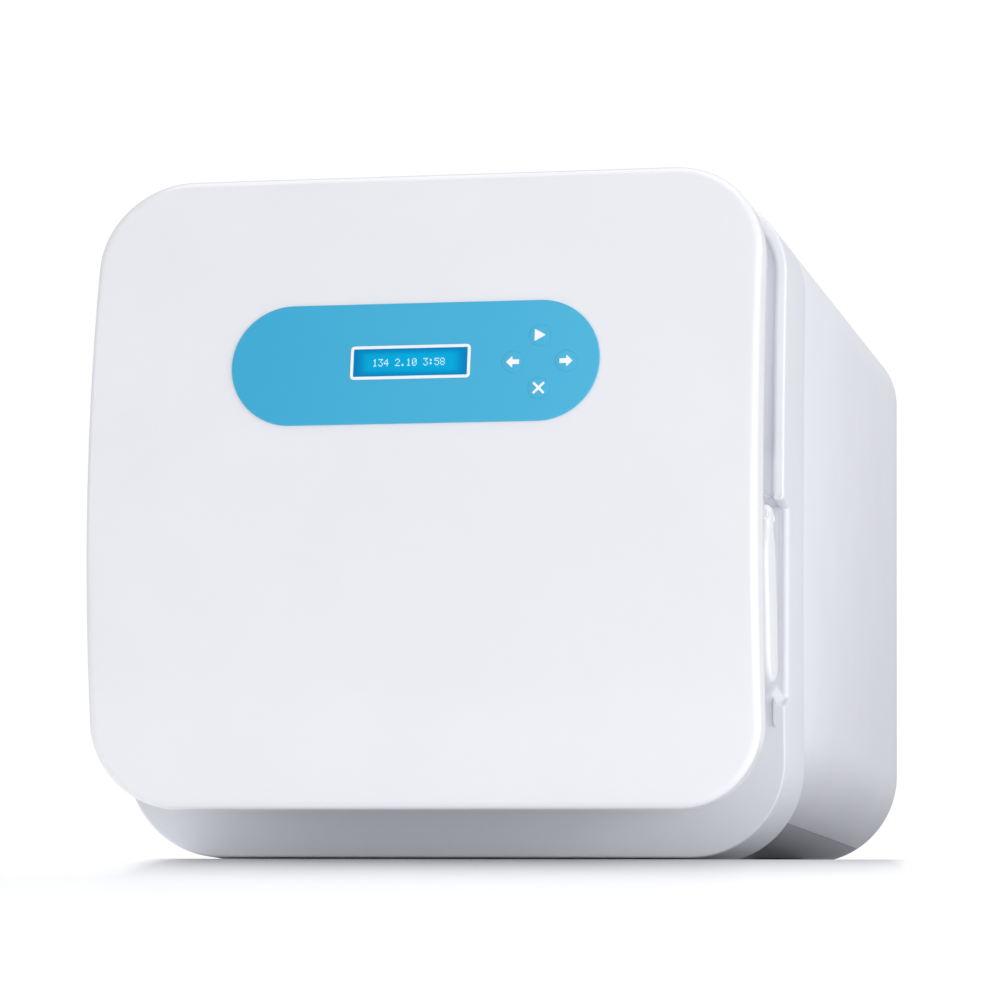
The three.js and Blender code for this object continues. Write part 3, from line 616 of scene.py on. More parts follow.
def ray_match(centre, pts, target):
    """For each point, where the ray from the centre through it meets the convex target outline."""
    c = np.array(centre, float)
    T = np.array(target, float) - c
    T2 = np.roll(T, -1, 0)
    out = []
    for p in np.array(pts, float) - c:
        best = None
        cr1 = p[0] * T[:, 1] - p[1] * T[:, 0]
        cr2 = p[0] * T2[:, 1] - p[1] * T2[:, 0]
        idx = np.where((cr1 * cr2 <= 0))[0]
        for i in idx:
            d = T2[i] - T[i]
            den = p[0] * d[1] - p[1] * d[0]
            if abs(den) < 1e-12:
                continue
            t = (T[i][0] * d[1] - T[i][1] * d[0]) / den
            if t > 0 and (best is None or t > best):
                best = t
        out.append(c + p * best)
    return np.array(out)


def with_y(pts, y):
    pts = np.asarray(pts, float)
    yy = np.full(len(pts), y) if np.isscalar(y) else y
    return np.stack([pts[:, 0], yy, pts[:, 1]], 1)


# ------------------------------------------------------------------ door cover
def door_cover():
    P, N = rrect2(-DOOR_HW, DOOR_HW, DOOR_Z0, DOOR_Z1, DOOR_RT, DOOR_RB, n=30, straight=5.0)
    rs = []

    def ring(d, fn, off):
        p = P + N * d
        return with_y(p, fn(p[:, 1]) + off)
    # rear rim, side, edge roundover
    e, back = 0.45, 2.7
    rs.append(ring(3.0, door_rear, -back))
    for q in range(5):
        w = math.pi / 2 * q / 4
        rs.append(ring(e * (1 - math.sin(w)), door_rear, -back - e * (1 - math.cos(w))))
    p0 = P
    yr, yf = door_rear(p0[:, 1]) - back - e, door_front(p0[:, 1]) + 4.6
    for t in (0.25, 0.5, 0.75):
        rs.append(with_y(p0, yr + (yf - yr) * t))
    RR = 4.6
    for q in range(13):
        w = math.pi / 2 * q / 12
        rs.append(ring(RR * (1 - math.cos(w)), door_front, RR * (1 - math.sin(w))))
    # front face: rings shrink to a short slot in the middle
    base = P + N * RR
    core = ray_match((0, ZC), base, rrect2(-60, 60, ZC - 45, ZC + 45, 40, n=12)[0])
    for t in np.concatenate([[0.012, 0.03, 0.06], np.linspace(0.1, 1.0, 24)]):
        q = base + (core - base) * t
        rs.append(with_y(q, door_front(q[:, 1])))
    c = core
    for t in (0.82, 0.62, 0.42, 0.22, 0.06):
        q = np.array([0, ZC]) + (c - np.array([0, ZC])) * t
        rs.append(with_y(q, door_front(q[:, 1])))
    v, f = rings(rs, True, False, True)
    # inner skin
    ri = [ring(3.0, door_rear, -back)]
    base = P + N * 3.0
    y0 = door_rear(base[:, 1]) - back
    base2 = P + N * 5.0
    ri.append(with_y(base, y0 + (door_front(base[:, 1]) + 6 - y0) * 0.5))
    ri.append(with_y(base, door_front(base[:, 1]) + 6.5))
    ri.append(with_y(base2, door_front(base2[:, 1]) + 3.2))
    core = ray_match((0, ZC), base2, rrect2(-60, 60, ZC - 45, ZC + 45, 40, n=12)[0])
    for t in np.linspace(0.1, 1.0, 10):
        q = base2 + (core - base2) * t
        ri.append(with_y(q, door_front(q[:, 1]) + 3.0))
    q = np.array([0, ZC]) + (core - np.array([0, ZC])) * 0.05
    ri.append(with_y(q, door_front(q[:, 1]) + 3.0))
    v2, f2 = rings(ri, True, False, True)
    b = Build().add(v, f).add(v2, [tuple(reversed(x)) for x in f2])
    return b.make("door_shell", GLOSS_WHITE, "door", replaces=("door_cover",), slot="gloss_white", angle=50, merge=True)


door_cover()


# ------------------------------------------------------------------ door back frame: rim plate, neck and back plate
def door_back():
    P, N = rrect2(-DOOR_HW + 3.4, DOOR_HW - 3.4, DOOR_Z0 + 3.4, DOOR_Z1 - 3.4, DOOR_RT - 3.4, DOOR_RB - 3.4, n=24, straight=6.0)
    c = (0.0, ZC)
    neck = ray_match(c, P, rrect2(-170, 168, 44, 377, 38, n=24)[0])
    hole = ray_match(c, P, circle2(0, ZC, 143, 256))

    def rim(z):
        return door_rear(z) - 3.5

    def back(z):
        return bezel_front(z) - 6
    ctr = np.array(c)

    def toward(pts, d):
        u = pts - ctr
        L = np.linalg.norm(u, axis=1)[:, None]
        return pts - u / L * d
    rs = [with_y(P, rim(P[:, 1]) - 3.0), with_y(P, rim(P[:, 1]) + 1.35)]
    fl = 0.95                                     # rounded edge of the flange
    for k in range(5):
        w = math.pi / 2 * k / 4
        q = P - N * (3.4 - 0.35 - 0.35 * (1 - math.sin(w)))
        rs.append(with_y(q, door_rear(q[:, 1]) - 2.15 + 0.35 * (1 - math.cos(w)) - 0.35 * 0))
    for k in range(7):
        w = math.pi / 2 * k / 6
        q = P - N * (3.4 - 0.35 - fl * (1 - math.cos(w)))
        rs.append(with_y(q, door_rear(q[:, 1]) - fl * (1 - math.sin(w))))
    q = P + N * 0.2
    rs.append(with_y(q, door_rear(q[:, 1])))
    q = P + N * 1.2
    rs.append(with_y(q, door_rear(q[:, 1]) - 0.5))
    q = P + N * 1.9
    rs.append(with_y(q, rim(q[:, 1]) + 0.9))
    q = P + N * 3.0
    rs.append(with_y(q, rim(q[:, 1])))
    for t in (0.5,):
        q2 = q + (toward(neck, -3) - q) * t
        rs.append(with_y(q2, rim(q2[:, 1])))
    # cove into the neck
    for k in range(6):
        w = math.pi / 2 * k / 5
        q2 = toward(neck, -3 * (1 - math.sin(w)))
        rs.append(with_y(q2, rim(q2[:, 1]) + 3 * (1 - math.cos(w))))
    for t in (0.2, 0.4, 0.6, 0.8):
        ya, yb = rim(neck[:, 1]) + 3, back(neck[:, 1]) - 5
        rs.append(with_y(neck, ya + (yb - ya) * t))
    for k in range(9):
        w = math.pi / 2 * k / 8
        q2 = toward(neck, 5 * (1 - math.cos(w)))
        rs.append(with_y(q2, back(q2[:, 1]) - 5 * (1 - math.sin(w))))
    n5, h = toward(neck, 5), toward(hole, -2.0)
    for t in (0.34, 0.67):
        q2 = n5 + (h - n5) * t
        rs.append(with_y(q2, back(q2[:, 1])))
    for k in range(6):
        w = math.pi / 2 * k / 5
        q2 = toward(hole, -2.0 * (1 - math.sin(w)))
        rs.append(with_y(q2, back(q2[:, 1]) - 2.0 * (1 - math.cos(w))))
    # inner side
    rs.append(with_y(hole, back(hole[:, 1]) - 3.0))
    n8 = toward(neck, 8)
    rs.append(with_y(n8, back(n8[:, 1]) - 3.2))
    n3 = toward(neck, 3.2)
    rs.append(with_y(n3, back(n3[:, 1]) - 8.0))
    rs.append(with_y(n3, rim(n3[:, 1]) - 1.5))
    q = neck
    rs.append(with_y(q, rim(q[:, 1]) - 3.0))
    v, f = loop_rings(rs)
    o = Build().add(v, f).make("door_liner", BEZEL_WHITE, None, merge=True, angle=40)
    boolean(o, [cutter(*box_m(-176, -160, Y(40), Y(90), 182, 239, 0)), cutter(*box_m(160, 172, Y(61.5), Y(73.9), 211.2, 228.8, 0))])
    o.data.shade_smooth()
    o.data.set_sharp_from_angle(angle=math.radians(34))
    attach(o, "door")
    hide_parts("door_back_frame")
    return o


door_back()


# ------------------------------------------------------------------ things that lie on the door front
def on_front(x, z):
    """Frame lying on the door front at (x, z): (u, w, out) -> point; out is away from the door."""
    s = (door_front(z + 1) - door_front(z - 1)) / 2
    a = math.atan(s)
    o = np.array([x, door_front(z), z])
    ux = np.array([1.0, 0, 0])
    uz = np.array([0, math.sin(a), math.cos(a)])
    un = np.array([0, -math.cos(a), math.sin(a)])
    return lambda u, w, out: o + ux * u + uz * w + un * out


def lay(v, fr):
    return [fr(p[0], p[2], -p[1]) for p in v]


def keypad():
    x0, x1 = PANEL_X - PANEL_W / 2, PANEL_X + PANEL_W / 2
    z0, z1 = PANEL_Z - PANEL_H / 2, PANEL_Z + PANEL_H / 2
    P, N = rrect2(x0, x1, z0, z1, PANEL_H / 2 - 0.01, n=40, straight=4.0)
    top = 0.95
    rs, off = [], []

    def ring(d, out):
        p = P + N * d
        return with_y(p, door_front(p[:, 1]) - out)
    rs.append(ring(0.25, 0.02))
    rs.append(ring(0.0, 0.18))
    rs.append(ring(0.0, top - 0.45))
    for k in range(1, 6):
        w = math.pi / 2 * k / 5
        rs.append(ring(0.4 * (1 - math.cos(w)), top - 0.4 * (1 - math.sin(w))))
    border = len(rs)
    rs.append(ring(0.95, top))
    rs.append(ring(1.0, top))
    spine_x = np.clip(P[:, 0], x0 + PANEL_H / 2, x1 - PANEL_H / 2)
    spine = np.stack([spine_x, np.full(len(P), PANEL_Z)], 1)
    q0 = P + N * 1.0
    for t in np.linspace(0.08, 1.0, 12):
        q = q0 + (spine - q0) * t
        rs.append(with_y(q, door_front(q[:, 1]) - top))
    n = len(P)
    v, f = rings(rs, True, False, False)
    m = []
    for k in range(len(rs) - 1):
        m += [1 if k < border else 0] * n
    # underside
    ru = [ring(0.25, 0.02)]
    for t in (0.33, 0.66, 1.0):
        q = P + N * 0.25
        q = q + (spine - q) * t
        ru.append(with_y(q, door_front(q[:, 1]) - 0.02))
    v2, f2 = rings(ru, True)
    b = Build()
    b.v = [tuple(p) for p in v]; b.f = list(f); b.m = m
    b.add(v2, [tuple(reversed(x)) for x in f2])
    me_name = "keypad_film"
    # the material index is set before merging, so build by hand
    me = bpy.data.meshes.new(me_name)
    me.from_pydata([tuple(float(c) * 0.001 for c in p) for p in b.v], [], b.f)
    for p, k in zip(me.polygons, b.m):
        p.material_index = k
    bm = bmesh.new(); bm.from_mesh(me)
    bmesh.ops.remove_doubles(bm, verts=bm.verts, dist=2e-7)
    bmesh.ops.dissolve_degenerate(bm, edges=bm.edges, dist=1e-7)
    bmesh.ops.recalc_face_normals(bm, faces=bm.faces)
    bm.to_mesh(me); bm.free()
    o = bpy.data.objects.new(me_name, me)
    scene.collection.objects.link(o)
    me.materials.append(BLUE); me.materials.append(BLUE_EDGE)
    cuts = []
    fr = on_front(DISP_X, DISP_Z)
    w, h = DISP_W / 2 + 0.08, DISP_H / 2 + 0.08
    cv, cf = slab(rrect2(-w, w, -h, h, 2.3, n=8)[0], -3.0, 3.0, 0.0001, n=1)
    cuts.append(cutter(lay(cv, fr), cf))
    for i, k in ((0, 1), (-1, 0), (1, 0), (0, -1)):
        fr = on_front(KEY_X + i * KEY_STEP, KEY_Z + k * KEY_STEP)
        cv, cf = slab(circle2(0, 0, KEY_R + 0.06, 64), -3.0, 3.0, 0.0001, n=1)
        cuts.append(cutter(lay(cv, fr), cf))
    boolean(o, cuts)
    o.data.shade_smooth()
    o.data.set_sharp_from_angle(angle=math.radians(40))
    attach(o, "door")
    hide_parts("keypad_overlay")
    return o


keypad()


def icon(kind):
    """Closed outlines (counter-clockwise) of the key symbols, in millimetres."""
    if kind == "start":
        return [[(-3.1, 3.65), (-3.1, -3.65), (3.25, 0)]]
    if kind in ("left", "right"):
        s = 1 if kind == "right" else -1
        p = [(-3.7, -1.35), (0.1, -1.35), (0.1, -3.55), (3.75, 0), (0.1, 3.55), (0.1, 1.35), (-3.7, 1.35)]
        return [[(s * x, y) for x, y in p]]
    a, b = 3.55, 0.95
    return [[(-a, -a + b * 1.0), (-a + b * 1.0, -a), (0, -b * 1.05), (a - b, -a), (a, -a + b), (b * 1.05, 0), (a, a - b), (a - b, a), (0, b * 1.05), (-a + b, a), (-a, a - b), (-b * 1.05, 0)]]


def keys():
    for name, body, i, k, kind in (("key_start", "start_key", 0, 1, "start"), ("key_left", "left_key", -1, 0, "left"),
                                   ("key_right", "right_key", 1, 0, "right"), ("key_cancel", "cancel_key", 0, -1, "cancel")):
        fr = on_front(KEY_X + i * KEY_STEP, KEY_Z + k * KEY_STEP)
        v, f = slab(circle2(0, 0, KEY_R, 64), -1.02, -0.50, 0.12, n=3)
        o = make(name + "_cap", lay(v, fr), f, BLUE, body, replaces=(name,), slot="blue_film", merge=False)
        b = Build()
        for line in icon(kind):
            pts = fillet_profile(line, 0.28, 3)
            v, f = slab(pts, -1.08, -1.0, 0.02, n=1)
            b.add(lay(v, fr), f)
        b.make(name + "_symbol", WHITE_INK, body, merge=False)


keys()

GLYPH = {
    "0": "01110 10001 10011 10101 11001 10001 01110", "1": "00100 01100 00100 00100 00100 00100 01110",
    "2": "01110 10001 00001 00010 00100 01000 11111", "3": "11111 00010 00100 00010 00001 10001 01110",
    "4": "00010 00110 01010 10010 11111 00010 00010", ":": "00000 01100 01100 00000 01100 01100 00000",
    ".": "00000 00000 00000 00000 00000 01100 01100", "5": "11111 10000 11110 00001 00001 10001 01110",
    "8": "01110 10001 10001 01110 10001 10001 01110", " ": "00000 00000 00000 00000 00000 00000 00000",
}


def display():
    fr = on_front(DISP_X, DISP_Z)
    w, h = DISP_W / 2, DISP_H / 2
    # rim: rounded bar section swept round the window
    P, N = rrect2(-w, w, -h, h, 2.3, n=10, straight=6.0)
    rs = []
    for d, out in ((0.0, -0.2), (0.0, 0.95), (0.10, 1.18), (0.35, 1.30), (0.9, 1.33), (1.45, 1.30), (1.72, 1.16), (1.8, 0.9), (1.8, -0.2)):
        p = P + N * d
        rs.append(np.array([fr(a, c, out) for a, c in p]))
    v, f = loop_rings(rs)
    make("display_rim", v, f, FRAME_WHITE, "door", replaces=("display_frame",), slot="gloss_white", angle=30)
    v, f = slab(rrect2(-w + 1.78, w - 1.78, -h + 1.78, h - 1.78, 0.7, n=6)[0], -0.95, 0.3, 0.08, n=2)
    make("display_pane", lay(v, fr), f, DISPLAY, "door", replaces=("display_window",), slot="display_glass", merge=False)
    text = "134 2.10 3:58"
    pitch, dot = 3.24, 0.50
    hh = 0.62
    b = Build()
    x0 = -0.6 - pitch * (len(text) - 0.17) / 2
    for i, ch in enumerate(text):
        for r, row in enumerate(GLYPH[ch].split()):
            for c, bit in enumerate(row):
                if bit == "1":
                    cx = x0 + i * pitch + c * 0.54
                    cz = (3 - r) * hh - 0.1
                    v, f = box_m(cx - dot / 2, cx + dot / 2, -0.985, -0.94, cz - 0.28, cz + 0.28, 0)
                    b.add(lay(v, fr), f)
    b.make("display_dots", DIGITS, "door", merge=False)


display()


# ------------------------------------------------------------------ front bezel
def bezel_path():
    """Outline of the bezel, counter-clockwise from the bottom centre, denser where the right side is shaped."""
    pts, nor = [], []

    def put(x, z, nx, nz):
        pts.append((x, z)); nor.append((nx, nz))
    h = math.pi / 2
    cxb, czb, cxt, czt = BZ_HW - BZ_RB, BZ_Z0 + BZ_RB, BZ_HW - BZ_RT, BZ_Z1 - BZ_RT
    for x in np.linspace(0, cxb, 30)[:-1]:
        put(x, BZ_Z0, 0, 1)
    for i in range(37):
        t = -h + h * i / 36
        put(cxb + BZ_RB * math.cos(t), czb + BZ_RB * math.sin(t), -math.cos(t), -math.sin(t))
    zs = [czb]
    while zs[-1] < czt - 0.3:
        z = zs[-1]
        step = 2.6
        for a, b, s in ((76, 106, 0.5), (200, 216, 0.3), (106, 200, 2.0)):
            if a <= z < b:
                step = s
        zs.append(z + step)
    zs = [z for z in zs if z < czt - 0.3]
    for z in zs[1:]:
        put(BZ_HW, z, -1, 0)
    for i in range(37):
        t = h * i / 36
        put(cxt + BZ_RT * math.cos(t), czt + BZ_RT * math.sin(t), -math.cos(t), -math.sin(t))
    for x in np.linspace(cxt, -cxt, 60)[1:-1]:
        put(x, BZ_Z1, 0, -1)
    for i in range(37):
        t = h + h * i / 36
        put(-cxt + BZ_RT * math.cos(t), czt + BZ_RT * math.sin(t), -math.cos(t), -math.sin(t))
    z = czt
    while z > czb + 0.3:
        z -= 0.6 if (150 < z < 166 or 256 < z < 272) else 2.6
        if z > czb + 0.3:
            put(-BZ_HW, z, 1, 0)
    for i in range(37):
        t = 2 * h + h * i / 36
        put(-cxb + BZ_RB * math.cos(t), czb + BZ_RB * math.sin(t), -math.cos(t), -math.sin(t))
    for x in np.linspace(-cxb, 0, 30)[1:-1]:
        put(x, BZ_Z0, 0, 1)
    return np.array(pts), np.array(nor)


def front_bezel():
    P, N = bezel_path()
    n = len(P)
    x, z = P[:, 0], P[:, 1]
    right = x > 100
    left = x < -100
    # how much of each feature is present along the outline, at inset d
    DL = 6.9
    top_fade = 1 - smooth01((BZ_HW - x - 24) / 26) * (z > 300)     # dies out along the top edge

    def up_at(d):
        t = np.clip((np.minimum(d, DL) - 3.4) / 3.4, -1, 1)
        tip = 2.6 * (1 - np.sqrt(np.clip(1 - t * t, 0, 1)))
        return smooth01((z - 208.2 - tip) / 2.2) * right * top_fade

    def low_at(d):
        return smooth01((z - 79.0) / 3.0) * (1 - smooth01((z - 93.5) / 3.0)) * right

    def scoop_at(d):
        lift = 7.0 * smooth01((d - 2.2) / 6.0)
        t = np.clip((np.minimum(d, DL) - 3.4) / 3.4, -1, 1)
        tip = 2.6 * (1 - np.sqrt(np.clip(1 - t * t, 0, 1)))
        return smooth01((z - 91.0 - lift) / 7.0) * (1 - smooth01((z - 205.6 - tip) / 3.4)) * right
    hinge = smooth01((z - 157.0) / 3.0) * (1 - smooth01((z - 262.0) / 3.0)) * left
    bead = up_at(0.0)
    sc0 = scoop_at(0.0)
    dl = np.where(left, 2.8, DL - 1.3 * (1 - bead)) + 1.5 * low_at(0.0) * (z < 150)
    dr = np.where(left, 22.4, 20.3)
    side = np.clip((np.abs(x) - 150) / 44, 0, 1) * np.clip(1 - np.abs(z - ZC) / 150, 0, 1)
    d_end = 21.4 + 4.2 * smooth01(side * 3)
    rc = 1.25 + 0.35 * bead + 2.0 * sc0
    ri = 0.7 + 1.9 * bead
    rs = []

    def ring(d, h):
        d = d * np.ones(n)
        p = P + N * d[:, None]
        return with_y(p, bezel_front(p[:, 1]) + h)

    def height(d, h_ch, inner=0.0):
        """h_ch: (channel section height, 0..1 of its depth); inner: rounding of the inner wall of the scoop."""
        sc = scoop_at(d * np.ones(n))
        hs = (Y(111.0) - bezel_front(z)) * sc
        hs = hs - 2.2 * np.sin(np.clip((d - rc) / (dl - rc), 0, 1) * 0.0) * sc
        ch = h_ch * (1 - sc)
        return ch + hs * (1 - inner), sc
    # rear rim and side wall
    rr = 0.9
    rs.append(with_y(P + N * 3.0, bezel_rear((P + N * 3.0)[:, 1])))
    for q in range(5):
        w = math.pi / 2 * q / 4
        p = P + N * (rr * (1 - math.sin(w)))
        rs.append(with_y(p, bezel_rear(p[:, 1]) - rr * (1 - math.cos(w))))
    y0 = bezel_rear(z) - rr
    y1 = bezel_front(z) + rc + (Y(111.0) - bezel_front(z)) * sc0
    for t in (0.2, 0.4, 0.6, 0.8):
        rs.append(with_y(P, y0 + (y1 - y0) * t))
    # crest
    for q in range(10):
        w = math.pi / 2 * q / 9
        d = rc * (1 - math.cos(w))
        rs.append(ring(d, height(d, 0.0)[0] + rc * (1 - math.sin(w)) + 0.55 * bead * (1 - q / 9 * 0.55)))
    # crown of the lip
    for t in (0.35, 0.7, 1.0):
        d = rc + (dl - ri - rc) * t
        rs.append(ring(d, height(d, 0.0)[0] + 0.25 * bead * (1 - t) + 0.3 * sc0 * t))
    hd = np.where(left, 25.0, np.where(z < 150, 1.7, 4.0))
    amp_all = np.where(left, hinge, np.maximum(up_at(8.0), low_at(8.0)))
    Hc = hd * amp_all
    for q in range(1, 9):
        w = math.pi / 2 * q / 8
        d = dl - ri + ri * math.sin(w)
        rs.append(ring(d, height(d, np.minimum(ri, Hc) * (1 - math.cos(w)))[0] + 0.3 * sc0))
    rf = np.maximum(np.clip(Hc - ri, 0.05, 1.8), 1.8 * sc0)
    for t in (0.35, 0.7, 1.0):
        hh = np.minimum(ri, Hc) + (np.maximum(Hc - rf * amp_all, 0) - np.minimum(ri, Hc)) * t
        d = dl + 0.15 * t
        rs.append(ring(d, height(d, hh)[0] + 0.35 * sc0))
    for q in range(1, 7):
        w = math.pi / 2 * q / 6
        d = dl + 0.15 + rf * (1 - math.cos(w))
        rs.append(ring(d, height(d, (Hc - rf * amp_all) + rf * amp_all * math.sin(w))[0] + 0.5 * sc0))
    for t in (0.25, 0.5, 0.75, 1.0):
        d = dl + 0.15 + rf + (dr - 0.15 - rf - dl - 0.15 - rf) * t
        rs.append(ring(d, height(d, Hc)[0] + 0.7 * sc0))
    for q in range(1, 7):
        w = math.pi / 2 * q / 6
        d = dr - 0.15 - rf + rf * math.sin(w)
        h, sc = height(d, Hc - rf * amp_all * (1 - math.cos(w)))
        rs.append(ring(d, h - rf * sc * (1 - math.cos(w)) + 0.7 * sc * (1 - math.sin(w))))
    for t in (0.33, 0.66, 1.0):
        d = dr - 0.15 + 0.15 * t
        sc = scoop_at(d * np.ones(n))
        Hs = (Y(111.0) - bezel_front(z)) * sc
        hc0, hc1 = Hc - rf * amp_all, np.minimum(1.2, Hc)
        hs0, hs1 = Hs - rf * sc, np.minimum(1.2, Hs)
        rs.append(ring(d, (hc0 + (hc1 - hc0) * t) * (1 - sc) + hs0 + (hs1 - hs0) * t))
    for q in range(1, 7):
        w = math.pi / 2 * q / 6
        d = dr + 1.0 * (1 - math.cos(w))
        sc = scoop_at(d * np.ones(n))
        Hs = (Y(111.0) - bezel_front(z)) * sc
        rs.append(ring(d, np.minimum(1.2, Hc) * (1 - math.sin(w)) * (1 - sc) + np.minimum(1.2, Hs) * (1 - math.sin(w))))
    p_end = P + N * np.maximum(d_end, dr + 1.2)[:, None]
    rs.append(with_y(p_end, bezel_front(p_end[:, 1])))
    # face to the mouth, rounded edge, return wall
    ctr = np.array([0.0, ZC])

    def circ(r):
        u = p_end - ctr
        return ctr + u / np.linalg.norm(u, axis=1)[:, None] * r
    m = circ(152.6)
    for t in (0.3, 0.6, 0.85):
        q = p_end + (m - p_end) * t
        rs.append(with_y(q, bezel_front(q[:, 1])))
    for q in range(7):
        w = math.pi / 2 * q / 6
        c = circ(150 + 2.6 * (1 - math.sin(w)))
        rs.append(with_y(c, bezel_front(c[:, 1]) + 2.6 * (1 - math.cos(w))))
    c = circ(150)
    yb = bezel_front(c[:, 1]) + 2.6
    for t in (0.5, 1.0):
        rs.append(with_y(c, yb + (Y(117.6) - yb) * t))
    c = circ(151.0)
    rs.append(with_y(c, Y(117.8)))
    c = circ(153.0)
    rs.append(with_y(c, Y(117.8)))
    rs.append(with_y(c, Y(116.6)))
    q = P + N * 4.6
    rs.append(with_y(q, np.full(n, Y(117.2))))
    q = P + N * 3.0
    rs.append(with_y(q, np.full(n, Y(119.0))))
    v, f = loop_rings(rs)
    o = make("bezel_shell", v, f, [BEZEL_WHITE, GLOSS_WHITE, BEZEL_SIDE_SHADE], "cabinet", replaces=("front_bezel",), slot="moulded_grey_white", angle=38)
    # one moulding, three finishes: satin face; a darker copy of the face finish on the side wall, which is painted
    # shade; and the door's brighter gloss white on the lip beside the door, a real polished finish whose lighter colour
    # also paints a highlight on the bead
    for q in o.data.polygons:
        c = np.array([q.center.x, q.center.z]) * 1000
        d = float(np.min(np.linalg.norm(P - c, axis=1)))
        # side wall faces take the darker copy of the finish: painted shade
        if abs(q.normal.y) < 0.7 and d < 2.2 and q.center.y * 1000 > float(bezel_front(c[1])) + 0.2:
            q.material_index = 2
        # lip faces above the scoop take the door's gloss white: real gloss, and its lighter colour paints a highlight
        # on the bead
        elif c[0] > 165 and q.normal.y < -0.15 and 206 < c[1] and 0.25 < d < 6.6:
            q.material_index = 1
    return o


front_bezel()


# ------------------------------------------------------------------ cabinet sheet metal
def arc_pts(cx, cz, r, s, e, n):
    return [(cx + r * math.cos(s + (e - s) * i / n), cz + r * math.sin(s + (e - s) * i / n)) for i in range(n + 1)]


def jacket():
    a0 = -math.radians(57)
    half = [(p, (-math.cos(t), -math.sin(t))) for p, t in zip(arc_pts(CB_HW - CB_RB, CB_Z0 + CB_RB, CB_RB, a0, 0, 24), np.linspace(a0, 0, 25))]
    for z in np.linspace(CB_Z0 + CB_RB, CB_Z1 - CB_RT, 26)[1:-1]:
        half.append(((CB_HW, z), (-1, 0)))
    half += [(p, (-math.cos(t), -math.sin(t))) for p, t in zip(arc_pts(CB_HW - CB_RT, CB_Z1 - CB_RT, CB_RT, 0, math.pi / 2, 26), np.linspace(0, math.pi / 2, 27))]
    for xx in np.linspace(CB_HW - CB_RT, 0, 16)[1:]:
        half.append(((xx, CB_Z1), (0, -1)))
    full = half + [((-p[0], p[1]), (-q[0], q[1])) for p, q in reversed(half[:-1])]
    P = np.array([p for p, _ in full]); N = np.array([q for _, q in full])
    n = len(P)
    rows = []
    yb = Y(DEPTH)
    # section across the sheet, at each station along the outline: outside, rolled rear edge, inside
    prof = [("f", 0.5, 0.0), ("f", 0.0, 0.5)] + [("t", 0.0, t) for t in (0.1, 0.25, 0.4, 0.55, 0.7, 0.85, 0.96)]
    for kind, d, t in prof:
        p = P + N * d
        yf = bezel_rear(p[:, 1]) + 0.3
        rows.append(with_y(p, yf + t) if kind == "f" else with_y(p, yf + (yb - yf) * t))
    for q in range(6):
        w = math.pi / 2 * q / 5
        rows.append(with_y(P + N * (1.4 * (1 - math.cos(w))), yb - 1.4 * (1 - math.sin(w))))
    rows.append(with_y(P + N * 6.5, yb))
    rows.append(with_y(P + N * 7.0, yb - 0.5))
    rows.append(with_y(P + N * 7.0, yb - SHEET))
    rows.append(with_y(P + N * (SHEET + 0.6), yb - SHEET))
    rows.append(with_y(P + N * SHEET, yb - SHEET - 1.0))
    for t in (0.9, 0.6, 0.3, 0.0):
        p = P + N * SHEET
        yf = bezel_rear(p[:, 1]) + 0.3
        rows.append(with_y(p, yf + (yb - SHEET - 1.0 - yf) * t))
    k = len(rows)
    v = np.concatenate(rows)
    f = []
    for a in range(k):
        b = (a + 1) % k
        for i in range(n - 1):
            f.append((a * n + i, a * n + i + 1, b * n + i + 1, b * n + i))
    f.append(tuple(a * n for a in range(k)))
    f.append(tuple(a * n + n - 1 for a in range(k))[::-1])
    return make("jacket_sheet", v, f, PAINT, "cabinet", replaces=("cabinet_jacket",), slot="painted_sheet", angle=30)


jacket()


def base_pan():
    a0 = -math.radians(57) - math.radians(0.35)
    cx, cz = CB_HW - CB_RB, CB_Z0 + CB_RB
    half = [((x, CB_Z0), (0, 1)) for x in np.linspace(0, cx, 14)[:-1]]
    half += [(p, (-math.cos(t), -math.sin(t))) for p, t in zip(arc_pts(cx, cz, CB_RB, -math.pi / 2, a0, 14), np.linspace(-math.pi / 2, a0, 15))]
    full = [((-p[0], p[1]), (-q[0], q[1])) for p, q in reversed(half[1:])] + half
    P = np.array([p for p, _ in full]); N = np.array([q for _, q in full])
    n = len(P)
    rows = []
    yb = Y(DEPTH)
    spec = [(0.0, 0.0)] + [(0.0, t) for t in (0.15, 0.3, 0.45, 0.6, 0.75, 0.9)]
    for d, t in spec:
        p = P + N * d
        yf = bezel_rear(p[:, 1]) + 0.3
        rows.append(with_y(p, yf + (yb - yf) * t))
    for q in range(6):
        w = math.pi / 2 * q / 5
        rows.append(with_y(P + N * (1.4 * (1 - math.cos(w))), yb - 1.4 * (1 - math.sin(w))))
    rows.append(with_y(P + N * 3.0, yb))
    rows.append(with_y(P + N * 3.0, yb - 1.0))
    for t in (0.9, 0.5, 0.0):
        p = P + N * (2 * SHEET)
        yf = bezel_rear(p[:, 1]) + 0.3
        rows.append(with_y(p, yf + (yb - 2 - yf) * t))
    k = len(rows)
    v = np.concatenate(rows)
    f = []
    for a in range(k):
        b = (a + 1) % k
        for i in range(n - 1):
            f.append((a * n + i, a * n + i + 1, b * n + i + 1, b * n + i))
    f.append(tuple(a * n for a in range(k)))
    f.append(tuple(a * n + n - 1 for a in range(k))[::-1])
    b = Build().add(v, f)
    return b.make("base_sheet", PAN, "cabinet", replaces=("base_pan",), slot="painted_sheet", angle=30)


base_pan()


